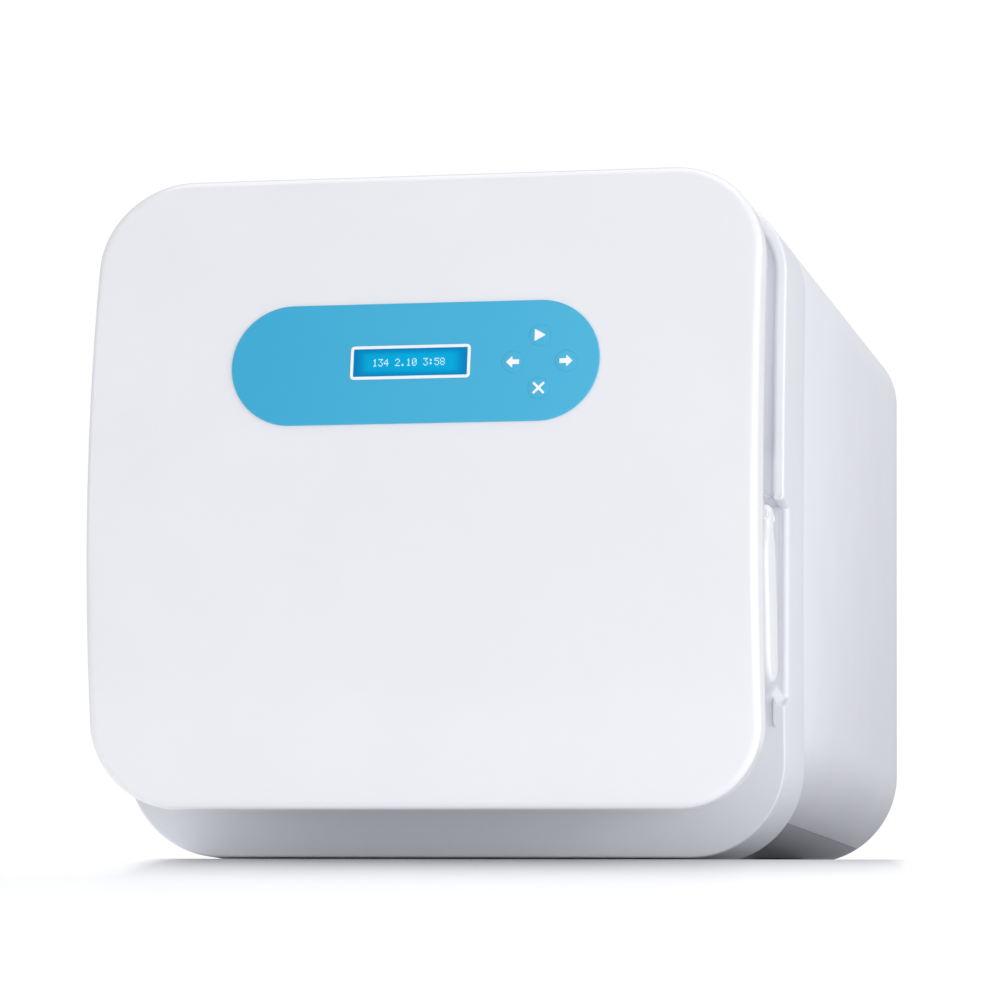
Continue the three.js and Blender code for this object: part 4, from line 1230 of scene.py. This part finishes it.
# ------------------------------------------------------------------ side lever
def lever():
    cx = 187.0
    y0, y1 = Y(56), Y(88)
    out = fillet_profile([(y0, 102.2), (y1, 102.2), (y1, 178), (Y(81.0), 192), (Y(80.6), 203.4), (Y(63.4), 203.4), (Y(63), 192), (y0, 178)],
                         [15.5, 15.5, 14, 10, 5, 5, 10, 14], 10)
    P = []
    for i in range(len(out)):                       # even spacing along the outline
        a_, b_ = np.array(out[i]), np.array(out[(i + 1) % len(out)])
        k = max(1, int(np.linalg.norm(b_ - a_) / 3.0))
        P += [tuple(a_ + (b_ - a_) * j / k) for j in range(k)]
    P = np.array(P)
    C = np.stack([np.full(len(P), Y(72)), np.clip(P[:, 1], 118, 194)], 1)
    D = C - P
    L = np.linalg.norm(D, axis=1)[:, None]
    D = D / L

    lean = 1.7 * (1 - smooth01((P[:, 1] - 104) / 92))      # the outer face stands out further at the lower end

    def at(ins, xx):
        p = P + D * (np.minimum(ins, L * 0.98) if ins < 50 else L * (ins - 50))
        out_ = np.clip((xx - (cx - 3)) / 6, 0, 1) * lean
        return np.stack([xx + out_, p[:, 0], p[:, 1]], 1)
    r = 2.6
    prof = [(51.0, cx - 3.55), (50.72, cx - 3.5), (50.45, cx - 3.35), (r + 0.9, cx - 3.08)]
    for q in range(9):
        w = math.pi / 2 * q / 8
        prof.append((r * (1 - math.sin(w)), cx - 3 + r * (1 - math.cos(w))))
    for q in range(9):
        w = math.pi / 2 * q / 8
        prof.append((r * (1 - math.cos(w)), cx + 3 - r * (1 - math.sin(w))))
    prof += [(r + 0.9, cx + 3.04), (50.45, cx + 3.2), (50.72, cx + 3.3), (51.0, cx + 3.35)]
    v, f = rings([at(i, a_) for i, a_ in prof], True, False, False)
    make("lever_paddle", v, f, GLOSS_WHITE, "lever", replaces=("door_lever",), slot="gloss_white", angle=45)
    # bracket: a foot on the neck and two rounded ears that hold the pin
    b = Build()
    b.add(*box_m(168.0, 171.2, Y(51), Y(83.8), 186, 205, 1.0, 3))
    for ya, yb in ((Y(57.4), Y(62.5)), (Y(81.6), Y(83.8))):
        ear = [(168.5, 190)]
        ear += [(186.4 + 3.7 * math.cos(t), 197 + 3.7 * math.sin(t)) for t in np.linspace(-math.pi / 2 - 0.35, math.pi / 2 + 0.1, 22)]
        ear += [(168.5, 202.5)]
        b.add(*slab(ear, ya, yb, 0.5, "y", 3))
    b.make("lever_ears", GLOSS_WHITE, "door", replaces=("lever_bracket",), slot="structural_steel", angle=35)
    b = Build()
    b.add(*cyl_y(186.6, 197, 2.4, Y(58.0), Y(83.4), 36, 0.4))
    b.make("lever_pin_headed", GLOSS_WHITE, "door", replaces=("lever_pin",), slot="stainless", angle=35)


lever()

# ------------------------------------------------------------------ pressure vessel, plate and gasket
M_ = Y(104.1)
R1 = 127.5


def turned(name, profile, radii, mat, body, node, slot, seg=144, n=5, x=0.0, z=ZC, angle=30):
    v, f = lathe_y(fillet_profile(profile, radii, n), seg, x, z)
    return make(name, v, f, mat, body, replaces=(node,), slot=slot, angle=angle)


turned("vessel_shell", [(125, M_), (125, M_ + 417), (116, M_ + 434), (75, M_ + 446), (0.02, M_ + 451), (0.02, M_ + 453.5), (76, M_ + 448.5), (118, M_ + 436), (R1, M_ + 418), (R1, M_)],
       [0.6, 22, 22, 30, 0, 0, 30, 22, 22, 0.6], BRUSHED, "cabinet", "chamber_vessel", "stainless", n=8)
turned("vessel_flange", [(127.8, M_), (145, M_), (145, M_ + 13.6), (127.8, M_ + 13.6)], [0.5, 1.6, 0.8, 0.3], TURNED, "cabinet", "chamber_flange", "stainless")
turned("plate_disc", [(0.02, Y(65.7)), (80, Y(71.5)), (110, Y(80)), (138, Y(80)), (138, Y(98)), (136.6, Y(98)), (136.6, Y(92)), (123.4, Y(92)), (123.4, Y(98)), (119, Y(98)), (119, Y(90)), (80, Y(78.5)), (0.02, Y(72))],
       [0, 60, 14, 2.2, 0.5, 0.4, 0.6, 0.6, 0.4, 0.8, 8, 60, 0], TURNED, "door", "door_plate", "stainless", n=7)
turned("gasket_ring", [(123.8, Y(92.3)), (136.2, Y(92.3)), (136.2, Y(99)), (133, Y(103.8)), (127, Y(103.8)), (123.8, Y(99))], [0.5, 0.5, 2.5, 2.2, 2.2, 2.5], SILICONE, "door", "door_gasket", "silicone", n=5)
turned("felt_wrap", [(130.1, Y(124)), (142, Y(124)), (142, Y(520)), (130.1, Y(520))], [1, 4, 4, 1], FELT, "cabinet", "chamber_insulation", "insulation_felt")
turned("heater_wrap", [(127.8, Y(250)), (129.6, Y(250)), (129.6, Y(430)), (127.8, Y(430))], [0.2, 0.6, 0.6, 0.2], SILICONE, "cabinet", "heater_band", "silicone")


# ------------------------------------------------------------------ rack and trays
def rack():
    b = Build()
    y0, y1 = Y(170), Y(517)
    for s_ in (-1, 1):
        xa, xb = sorted((s_ * 90.6, s_ * 92.2))
        # side wall with two long windows: five bars
        for z0, z1 in ((130, 160), (182, 208), (230, 291)):
            b.add(*box_m(xa, xb, y0, y1, z0, z1, 0.6, 2))
        for ya, yb in ((y0, Y(200)), (Y(338), Y(350)), (Y(487), y1)):
            for z0, z1 in ((159, 183), (207, 231)):
                b.add(*box_m(xa, xb, ya, yb, z0, z1, 0.3, 1))
        for z in (146, 194, 242):
            # folded runner: shelf and a small stop lip at the rear
            x0, x1 = sorted((s_ * 83.2, s_ * 91.0))
            b.add(*box_m(x0, x1, y0, y1, z - 2.2, z - 0.7, 0.5, 2))
            x0, x1 = sorted((s_ * 83.2, s_ * 84.4))
            b.add(*box_m(x0, x1, y0, y1, z - 5.5, z - 0.9, 0.45, 2))
    for y in (y0, Y(340), y1 - 12):
        b.add(*box_m(-91.5, 91.5, y, y + 12, 130.2, 131.8, 0.5, 2))
    # bent wire handle across the front
    path = [(-88, y0 + 6, 291), (-88, y0 + 5, 297), (-84, y0 + 4, 301)] + [(x, y0 + 3, 302) for x in np.linspace(-76, 76, 9)] + [(84, y0 + 4, 301), (88, y0 + 5, 297), (88, y0 + 6, 291)]
    b.add(*tube(smooth_path(path, 5), 2.0, 14))
    b.make("rack_frame", BRUSHED, "cabinet", replaces=("tray_rack",), slot="stainless", angle=35)


def smooth_path(pts, n):
    """Catmull-Rom through the points."""
    p = np.array(pts, float)
    q = np.vstack([2 * p[0] - p[1], p, 2 * p[-1] - p[-2]])
    out = []
    for i in range(1, len(q) - 2):
        for j in range(n):
            t = j / n
            a_, b_, c_, d_ = q[i - 1], q[i], q[i + 1], q[i + 2]
            out.append(0.5 * ((2 * b_) + (c_ - a_) * t + (2 * a_ - 5 * b_ + 4 * c_ - d_) * t ** 2 + (3 * b_ - a_ - 3 * c_ + d_) * t ** 3))
    out.append(p[-1])
    return out


def tray(name, node, body, z):
    x0, x1, y0, y1 = -88.0, 88.0, Y(224), Y(514)
    P, N = rrect2(x0, x1, y0, y1, 12, n=10)
    rs = []

    def at(d, zz):
        p = P + N * d
        return np.stack([p[:, 0], p[:, 1], np.full(len(p), zz)], 1)
    # outside, rolled rim, inside with a coved bottom
    prof = [(9.0, z), (3.5, z), (2.2, z + 0.5), (1.6, z + 1.6), (1.35, z + 3.0), (1.0, z + 14.8)]
    prof += [(0.9 - 0.9 * math.sin(t), z + 15.6 + 0.9 * (1 - math.cos(t)) * 0.4) for t in np.linspace(0, math.pi / 2, 4)]
    prof += [(0.0, z + 16.6)]
    prof += [(1.3 - 1.3 * math.cos(t), z + 16.7 + 1.3 * math.sin(t)) for t in np.linspace(0, math.pi / 2, 5)]
    prof += [(1.3 + 1.1 * math.sin(t), z + 16.9 + 1.1 * math.cos(t)) for t in np.linspace(0.2, math.pi / 2, 4)]
    prof += [(2.45, z + 15.0), (2.6, z + 4.5), (2.9, z + 3.0), (3.8, z + 1.6), (5.4, z + 1.3), (9.0, z + 1.3)]
    b = Build()
    v, f = rings([at(d, zz) for d, zz in prof], True)
    b.add(v, f)
    # bottom: a grid of round-ended slots, joined to the cove
    o = b.make(name, ALU, None, merge=False, fix=False)
    me = o.data
    bm = bmesh.new()
    bm.from_mesh(me)
    bm.verts.ensure_lookup_table()
    n = len(P)
    k = len(prof)
    low = [bm.verts[i] for i in range(n)]
    top = [bm.verts[(k - 1) * n + i] for i in range(n)]
    bm.faces.new(low[::-1])
    bm.faces.new(top)
    bmesh.ops.recalc_face_normals(bm, faces=bm.faces)
    bm.to_mesh(me)
    bm.free()
    cuts = Build()
    for i in range(5):
        for j in range(9):
            cx = -60 + i * 30
            cy = Y(250) + j * 29.5
            sl = rrect2(cx - 10, cx + 10, cy - 2.6, cy + 2.6, 2.59, n=5)[0]
            v, f = slab(sl, z - 2, z + 4, 0.0001, "z", 1)
            cuts.add(v, f)
    boolean(o, [cutter(cuts.v, cuts.f)])
    o.data.shade_smooth()
    o.data.set_sharp_from_angle(angle=math.radians(40))
    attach(o, body)
    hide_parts(node)


rack()
tray("tray_pan_lower", "tray_lower", "lower_tray", 146.0)
tray("tray_pan_middle", "tray_middle", "middle_tray", 194.0)
tray("tray_pan_upper", "tray_upper", "upper_tray", 242.0)


# ------------------------------------------------------------------ feet
def foot(name, x, y):
    pr = [(0.02, 0.6), (8.5, 0.6), (9.0, 0.0), (12.6, 0.0), (13.6, 0.5), (14.0, 1.4), (14.3, 4.0)]
    for k in range(4):
        h = 5.0 + k * 4.2
        pr += [(14.5 + 0.5 * k, h), (14.1 + 0.5 * k, h + 0.5), (14.1 + 0.5 * k, h + 1.1), (14.6 + 0.5 * k, h + 1.6), (14.75 + 0.5 * k, h + 3.0)]
    pr += [(16.8, 24.6), (16.4, 25.7), (15.6, 26.0), (0.02, 26.0)]
    v, f = lathe_z(pr, 72, x, y)
    make(name + "_turned", v, f, RUBBER, "cabinet", replaces=(name,), slot="foot_rubber", angle=35)


for nm_ in ("foot_front_left", "foot_front_right", "foot_rear_left", "foot_rear_right"):
    lo_, hi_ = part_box(nm_)
    foot(nm_, (lo_.x + hi_.x) * 500, (lo_.y + hi_.y) * 500)


# ------------------------------------------------------------------ door mechanism and hinge
def mechanism():
    PX, PY = -183.0, Y(58.6)
    b = Build()
    b.add(*box_m(PX + 4, 163, Y(50), Y(62), 185.5, 235.5, 1.2, 3))
    b.add(*lathe_z(fillet_profile([(6.4, 185.5), (11, 185.5), (11, 235.5), (6.4, 235.5)], [0.3, 1.0, 1.0, 0.3], 4), 64, PX, PY))
    b.make("crossbar_forged", STEEL, "door", replaces=("door_crossbar",), slot="structural_steel")
    for n_, z0, z1 in (("hinge_bracket_upper", 236.5, 249.0), ("hinge_bracket_lower", 172.0, 184.5)):
        b = Build()
        # a knuckle and an arm that runs back into the cabinet
        b.add(*lathe_z(fillet_profile([(6.3, z0), (10.5, z0), (10.5, z1), (6.3, z1)], [0.3, 0.9, 0.9, 0.3], 4), 64, PX, PY))
        b.add(*box_m(PX - 7.6, PX + 9.6, PY + 7.5, Y(117.6), z0 + 0.2, z1 - 0.2, 1.2, 3))
        b.add(*box_m(PX - 7.6, -158.4, Y(112.2), Y(117.7), z0 + 0.2, z1 - 0.2, 0.8, 2))
        b.make(n_ + "_arm", STEEL, "cabinet", replaces=(n_,), slot="structural_steel")
    b = Build()
    b.add(*lathe_z(fillet_profile([(0.02, 170), (6, 170), (6, 249.4), (9, 249.4), (9, 252), (0.02, 252)], [0, 0.8, 0.2, 0.5, 0.9, 0], 4), 64, PX, PY))
    b.make("hinge_pin_turned", POLISHED, "cabinet", replaces=("hinge_pin",), slot="stainless")
    # bolt with a lead-in on its nose
    out = [(118.3, 213.0), (171.6, 213.0), (175.2, 216.0), (175.2, 224.0), (171.6, 227.0), (118.3, 227.0)]
    v, f = slab(fillet_profile(out, 0.8, 4), Y(63.3), Y(72.1), 0.7, "y", 3)
    make("latch_bolt_ground", v, f, POLISHED, "bolt", replaces=("latch_bolt",), slot="stainless")
    # keeper: a strap with a rectangular window
    lo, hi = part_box("latch_keeper")
    b = Build()
    x0, x1 = 176.3, 181.9
    b.add(*box_m(x0, x1, Y(57.1), Y(61.2), 206.2, 233.8, 0.9, 3))
    b.add(*box_m(x0, x1, Y(76), Y(117.7), 206.2, 233.8, 0.9, 3))
    b.add(*box_m(x0, x1, Y(59), Y(78), 206.2, 211.6, 0.9, 3))
    b.add(*box_m(x0, x1, Y(59), Y(78), 228.4, 233.8, 0.9, 3))
    b.add(*box_m(161.2, 181.5, Y(112.6), Y(117.7), 206.2, 233.8, 0.9, 3))
    b.make("keeper_strap", BEZEL_WHITE, "cabinet", replaces=("latch_keeper",), slot="structural_steel")


mechanism()


# ------------------------------------------------------------------ rear panel and its fittings
def rear():
    P, N = rrect2(-CB_HW + 1.9, CB_HW - 1.9, CB_Z0 + 1.9, CB_Z1 - 1.9, CB_RT - 1.9, CB_RB - 1.9, n=24, straight=20.0)
    v, f = slab(P, Y(612.85), Y(614.6), 0.3, "y", 2)
    o = make("rear_sheet", v, f, PAINT, None, angle=30)
    cuts = Build()
    for v, f in (slab(rrect2(112.1, 140.5, 62.1, 82.9, 2, n=4)[0], Y(600), Y(620), 0.0001, "y", 1),
                 slab(rrect2(112.8, 139.2, 96.1, 107.9, 1, n=4)[0], Y(600), Y(620), 0.0001, "y", 1)):
        cuts.add(v, f)
    for x, z, r in ((92, 66, 6.5), (92, 90, 6.5), (-110, 70, 7.3), (-60, 330, 11.8), (-160, 360, 2.4), (160, 360, 2.4), (-165, 110, 2.4), (165, 110, 2.4)):
        cuts.add(*slab(circle2(x, z, r, 48), Y(600), Y(620), 0.0001, "y", 1))
    # ventilation slots in two banks
    for i in range(9):
        z = 268 + i * 9.0
        cuts.add(*slab(rrect2(60, 130, z, z + 3.6, 1.79, n=5)[0], Y(600), Y(620), 0.0001, "y", 1))
    boolean(o, [cutter(cuts.v, cuts.f)])
    o.data.shade_smooth()
    o.data.set_sharp_from_angle(angle=math.radians(35))
    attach(o, "cabinet")
    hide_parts("rear_panel")
    # screws: domed head with a cross recess
    for nm_, x, z in (("rear_screw_upper_left", -160, 360), ("rear_screw_upper_right", 160, 360), ("rear_screw_lower_left", -165, 110), ("rear_screw_lower_right", 165, 110)):
        b = Build()
        b.add(*lathe_y([(0.02, Y(604)), (2, Y(604)), (2, Y(614.8)), (4.2, Y(614.8)), (4.15, Y(615.5)), (3.7, Y(616.3)), (2.6, Y(617.0)), (1.9, Y(617.25)), (0.02, Y(617.3))], 40, x, z))
        o = b.make(nm_ + "_head", POLISHED, None, angle=35)
        c = Build().add(*box_m(x - 1.7, x + 1.7, Y(616.2), Y(618), z - 0.35, z + 0.35, 0)).add(*box_m(x - 0.35, x + 0.35, Y(616.2), Y(618), z - 1.7, z + 1.7, 0))
        k1 = cutter(*box_m(x - 1.7, x + 1.7, Y(616.2), Y(618), z - 0.35, z + 0.35, 0))
        k2 = cutter(*box_m(x - 0.35, x + 0.35, Y(616.2), Y(618), z - 1.7, z + 1.7, 0))
        boolean(o, [k1, k2])
        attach(o, "cabinet"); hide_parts(nm_)
    # valve body: hex base, ring and outlet
    b = Build()
    b.add(*slab(rrect2(-70, -50, 316, 344, 3, n=6)[0], Y(574), Y(592), 1.0, "y", 3))
    b.add(*lathe_y(fillet_profile([(4.3, Y(590)), (11, Y(590)), (11, Y(619)), (8, Y(619)), (8, Y(622)), (4.3, Y(622))], [0.2, 0.8, 0.9, 0.4, 0.6, 0.3], 4), 64, -60, 330))
    hexa = [(-60 + 13.2 * math.cos(t), 330 + 13.2 * math.sin(t)) for t in np.arange(6) * math.pi / 3 + 0.2]
    b.add(*slab(fillet_profile(hexa, 0.8, 3), Y(600), Y(609), 0.7, "y", 3))
    b.make("relief_valve_body", BRASS, "cabinet", replaces=("safety_valve",), slot="valve_brass")
    b = Build()
    b.add(*cyl_y(-60, 330, 3.5, Y(600), Y(624), 40, 0.4))
    ring_ = [(-60 + 7.9 * math.cos(t), Y(624.3), 330 + 7.9 * math.sin(t)) for t in np.linspace(0, 2 * math.pi, 49)]
    rs = []
    for t in np.linspace(0, 2 * math.pi, 64, endpoint=False):
        c0 = np.array([-60 + 7.9 * math.cos(t), Y(624.3), 330 + 7.9 * math.sin(t)])
        u = np.array([math.cos(t), 0, math.sin(t)])
        rs.append([c0 + 1.05 * (math.cos(a) * u + math.sin(a) * np.array([0, 1.0, 0])) for a in np.linspace(0, 2 * math.pi, 14, endpoint=False)])
    b.add(*loop_rings(rs))
    b.add(*cyl_axis("x", Y(624.3), 330, 1.05, -67.6, -52.4, 18, 0.2))
    b.make("relief_valve_ring", POLISHED, "valve_stem", replaces=("safety_valve_stem",), slot="stainless")
    # drain: hex union and hose barb
    b = Build()
    pr = [(3.1, Y(600.6)), (7, Y(600.6)), (7, Y(615)), (10, Y(615)), (10, Y(618.2)), (5, Y(618.4)), (5.6, Y(620.4)), (4.5, Y(620.6)), (5.6, Y(623.0)), (4.5, Y(623.2)), (5.4, Y(625.4)), (4.4, Y(626.4)), (3.1, Y(626.4))]
    b.add(*lathe_y(fillet_profile(pr, [0.2, 0.4, 0.2, 0.8, 0.8, 0.2, 0.2, 0.1, 0.2, 0.1, 0.2, 0.2, 0.2], 3), 64, -110, 70))
    b.make("drain_barb", BRASS, "cabinet", replaces=("drain_outlet",), slot="valve_brass")
    # mains inlet: flange with a hooded well and three flat pins
    b = Build()
    fl, fln = rrect2(106.3, 146.3, 57.3, 87.7, 4, n=8)
    well, wn_ = rrect2(115.4, 137.2, 65.4, 79.6, 3.2, 1.2, n=8)
    rs = []
    for d, y in ((1.0, Y(614.9)), (0.3, Y(615.1)), (0.0, Y(615.6)), (0.0, Y(617.0)), (0.3, Y(617.7)), (1.0, Y(618.0))):
        p = fl + fln * d
        rs.append(with_y(p, y))
    for d, y in ((-1.2, Y(618.0)), (-0.4, Y(617.8)), (0.0, Y(617.2)), (0.0, Y(600.0))):
        p = well + wn_ * d
        rs.append(with_y(p, y))
    p = well + wn_ * -2.6
    rs.append(with_y(p, Y(598.0)))
    rs.append(with_y(p, Y(614.9)))
    v, f = rings(rs, True, False, False)
    n_ = len(fl)
    f += [tuple(((len(rs) - 1) * n_ + i, (len(rs) - 1) * n_ + (i + 1) % n_, (i + 1) % n_, i)) for i in range(n_)]
    b.add(v, f)
    b.add(*slab(well, Y(598.2), Y(600.2), 0.3, "y", 2))
    for x, z in ((120, 71), (126.3, 74), (132.6, 71)):
        b.add(*box_m(x - 1, x + 1, Y(600), Y(613.6), z - 2.4, z + 2.4, 0.4, 2), 1)
    o = b.make("mains_inlet_hood", [BLACK, POLISHED], "cabinet", replaces=("power_inlet",), slot="black_plastic")
    for nm_, z in (("fuse_holder_lower", 66), ("fuse_holder_upper", 90)):
        b = Build()
        b.add(*lathe_y(fillet_profile([(0.02, Y(596)), (6.2, Y(596)), (6.2, Y(614.9)), (8.5, Y(614.9)), (8.5, Y(620.9)), (0.02, Y(620.9))], [0, 0.6, 0.2, 0.5, 1.1, 0], 4), 64, 92, z))
        o = b.make(nm_ + "_cap", BLACK, None)
        boolean(o, [cutter(*box_m(85.5, 98.5, Y(619.6), Y(622), z - 0.7, z + 0.7, 0))])
        o.data.shade_smooth(); o.data.set_sharp_from_angle(angle=math.radians(35))
        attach(o, "cabinet"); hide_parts(nm_)


rear()

# ------------------------------------------------------------------ materials on every carried-over CAD node
CARRY = {
    "display_module": BLACK, "keypad_board": PCB, "door_crossbar": STEEL, "plate_stud": POLISHED, "stud_nut": POLISHED,
    "door_plate": BRUSHED, "door_gasket": SILICONE, "bolt_guide": STEEL, "latch_bolt": POLISHED,
    "lever_bracket": BEZEL_WHITE, "lever_pin": GLOSS_WHITE, "rear_panel": PAINT, "chamber_vessel": BRUSHED, "chamber_flange": BRUSHED,
    "heater_band": SILICONE, "chamber_insulation": FELT, "front_bulkhead": STEEL, "chamber_support_rear": STEEL,
    "tray_rack": BRUSHED, "tray_lower": ALU, "tray_middle": ALU, "tray_upper": ALU,
    "hinge_bracket_upper": STEEL, "hinge_bracket_lower": STEEL, "hinge_pin": POLISHED, "latch_keeper": BEZEL_WHITE,
    "door_switch": BLACK, "safety_valve": BRASS, "safety_valve_stem": POLISHED, "solenoid_valve": BLACK,
    "drain_outlet": BRASS, "steam_pipe": POLISHED, "pressure_transducer": POLISHED, "temperature_probe": POLISHED,
    "power_board": PCB, "power_inlet": BLACK, "fuse_holder_lower": BLACK, "fuse_holder_upper": BLACK, "power_switch_rocker": BLACK,
    "door_cover": GLOSS_WHITE, "door_back_frame": BEZEL_WHITE, "keypad_overlay": BLUE, "key_start": BLUE, "key_left": BLUE,
    "key_right": BLUE, "key_cancel": BLUE, "display_frame": FRAME_WHITE, "display_window": DISPLAY, "front_bezel": BEZEL_WHITE,
    "cabinet_jacket": PAINT, "base_pan": PAN, "door_lever": GLOSS_WHITE,
    "foot_front_left": RUBBER, "foot_front_right": RUBBER, "foot_rear_left": RUBBER, "foot_rear_right": RUBBER,
    "rear_screw_upper_left": POLISHED, "rear_screw_upper_right": POLISHED, "rear_screw_lower_left": POLISHED, "rear_screw_lower_right": POLISHED,
}
for nm, o in NODES.items():
    o.data.materials.clear()
    o.data.materials.append(CARRY[nm])

# ------------------------------------------------------------------ floor, world, lights
def floor_mat():
    m, nt, b = new_mat("floor_painted_shadow")
    c = coords(nt)
    sep = nt.nodes.new("ShaderNodeSeparateXYZ")
    nt.links.new(c, sep.inputs[0])
    # painted contact shadow: grey where the object stands and just in front of it, fading to lighter paper in front,
    # beside and far away
    front = nt.nodes.new("ShaderNodeMapRange")
    front.interpolation_type = "SMOOTHSTEP"
    for k, v in (("From Min", -0.185), ("From Max", -0.315), ("To Min", 0.0), ("To Max", 1.0)):
        front.inputs[k].default_value = v
    nt.links.new(sep.outputs["Y"], front.inputs["Value"])
    sx = nt.nodes.new("ShaderNodeMapRange")
    sx.interpolation_type = "SMOOTHSTEP"
    for k, v in (("From Min", 0.185), ("From Max", 0.228), ("To Min", 0.0), ("To Max", 1.0)):
        sx.inputs[k].default_value = v
    nt.links.new(math_node(nt, "ABSOLUTE", math_node(nt, "SUBTRACT", sep.outputs["X"], 0.052)), sx.inputs["Value"])
    near = nt.nodes.new("ShaderNodeMapRange")
    near.interpolation_type = "SMOOTHSTEP"
    for k, v in (("From Min", 0.04), ("From Max", -0.22), ("To Min", 0.0), ("To Max", 1.0)):
        near.inputs[k].default_value = v
    nt.links.new(sep.outputs["Y"], near.inputs["Value"])
    beside = math_node(nt, "MULTIPLY", sx.outputs["Result"], near.outputs["Result"])
    ln = nt.nodes.new("ShaderNodeVectorMath")
    ln.operation = "LENGTH"
    nt.links.new(c, ln.inputs[0])
    far = nt.nodes.new("ShaderNodeMapRange")
    far.interpolation_type = "SMOOTHSTEP"
    for k, v in (("From Min", 0.9), ("From Max", 2.6), ("To Min", 0.0), ("To Max", 1.0)):
        far.inputs[k].default_value = v
    nt.links.new(ln.outputs["Value"], far.inputs["Value"])
    f = math_node(nt, "MAXIMUM", math_node(nt, "MAXIMUM", front.outputs["Result"], beside), far.outputs["Result"])
    n = math_node(nt, "MULTIPLY", math_node(nt, "SUBTRACT", noise(nt, c, 40.0, 3), 0.5), 0.03)
    # colour runs from grey 0.40 at the object (painted shadow) to 0.93 paper
    col = ramp(nt, math_node(nt, "ADD", f, n, clamp=True), [(0.0, (0.40, 0.405, 0.42)), (1.0, (0.93, 0.93, 0.93))])
    nt.links.new(col, b.inputs["Base Color"])
    b.inputs["Roughness"].default_value = 0.9
    b.inputs["Specular IOR Level"].default_value = 0.1
    nt.links.new(col, b.inputs["Emission Color"])
    # emission makes the paper glow beside, in front and far away but not by the object, so the grey patch reads as a
    # painted shadow
    band = math_node(nt, "MULTIPLY", beside, math_node(nt, "SUBTRACT", 1.0, front.outputs["Result"]))
    glow = math_node(nt, "MULTIPLY", math_node(nt, "MULTIPLY", f, f), 0.17)
    nt.links.new(math_node(nt, "ADD", glow, math_node(nt, "MULTIPLY", band, 0.5)), b.inputs["Emission Strength"])
    return m


def floor():
    prof = [(y, 0.0) for y in (9.0, 4.0, 2.0, 1.0, 0.5, 0.2, 0.0, -0.1, -0.16)]
    # low crest just in front of the object, rolling down towards the viewer
    for q in range(1, 9):
        t = q / 8
        prof.append((-0.16 - 0.055 * t, 0.0043 * float(smooth01(t))))
    r = 0.22
    yc = -0.222
    a = math.atan(0.26)
    for q in range(1, 17):
        w = a * q / 16
        prof.append((yc - r * math.sin(w), 0.0043 - r * (1 - math.cos(w))))
    y, z = prof[-1]
    for L in (0.05, 0.15, 0.4, 1.0, 2.0):
        prof.append((y - L * math.cos(a), z - L * math.sin(a)))
    v, f = [], []
    xs = np.concatenate([[-9, -5, -3], np.linspace(-1.5, 1.5, 13), [3, 5, 9]])
    for (y, z) in prof:
        for x in xs:
            v.append((x * 1000, y * 1000, z * 1000 - 0.05))
    k = len(xs)
    for i in range(len(prof) - 1):
        for j in range(k - 1):
            f.append((i * k + j, (i + 1) * k + j, (i + 1) * k + j + 1, i * k + j + 1))
    o = make("floor", v, f, floor_mat(), None, fix=False, merge=False, angle=60)
    o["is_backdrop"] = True


floor()

w = bpy.data.worlds.new("studio")
scene.world = w
w.use_nodes = True
wn = w.node_tree
bg = wn.nodes["Background"]
bg.inputs["Color"].default_value = (1, 1, 1, 1)
bg.inputs["Strength"].default_value = 1.02
bg2 = wn.nodes.new("ShaderNodeBackground")
bg2.inputs["Color"].default_value = (0.95, 0.965, 1.0, 1)
bg2.inputs["Strength"].default_value = 0.574
lp = wn.nodes.new("ShaderNodeLightPath")
mx = wn.nodes.new("ShaderNodeMixShader")
wn.links.new(lp.outputs["Is Camera Ray"], mx.inputs["Fac"])
wn.links.new(bg2.outputs["Background"], mx.inputs[1])
wn.links.new(bg.outputs["Background"], mx.inputs[2])
wn.links.new(mx.outputs["Shader"], wn.nodes["World Output"].inputs["Surface"])


def area(name, loc, target, sx, sy, power, col=(1, 1, 1), hidden=False):
    l = bpy.data.lights.new(name, "AREA")
    l.shape = "RECTANGLE"
    l.size, l.size_y = sx, sy
    l.energy = power
    l.color = col
    o = bpy.data.objects.new(name, l)
    scene.collection.objects.link(o)
    d = Vector(target) - Vector(loc)
    o.rotation_euler = d.to_track_quat("-Z", "Y").to_euler()
    o.location = loc
    if hidden:
        o.visible_camera = False
    return o


area("left_soft", (-2.4, -2.2, 0.9), (0, -0.1, 0.2), 1.6, 1.8, 12, (1, 1, 1))
area("right_soft", (2.6, -1.15, 0.7), (0.1, 0.0, 0.22), 1.4, 1.8, 28.0, (1.0, 0.99, 0.995))
area("top_soft", (0.0, -0.1, 2.4), (0, 0.0, 0.2), 2.2, 2.2, 18, (1, 1, 1))
area("rim_back", (1.05, 3.5, 0.75), (0.19, -0.2, 0.2), 1.5, 2.4, 1.6, (1, 1, 1), True)
area("front_low", (1.6, -2.8, 0.0), (0.1, -0.2, 0.15), 1.4, 1.2, 12.0, (0.99, 0.995, 1.0), True)
area("strip_right", (1.9, -1.7, 0.3), (0.15, -0.25, 0.22), 0.16, 1.6, 0.5, (1, 1, 1), True)

# ------------------------------------------------------------------ sizes, and the end
{"cad": cad_bounds, "visual": plain(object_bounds())}
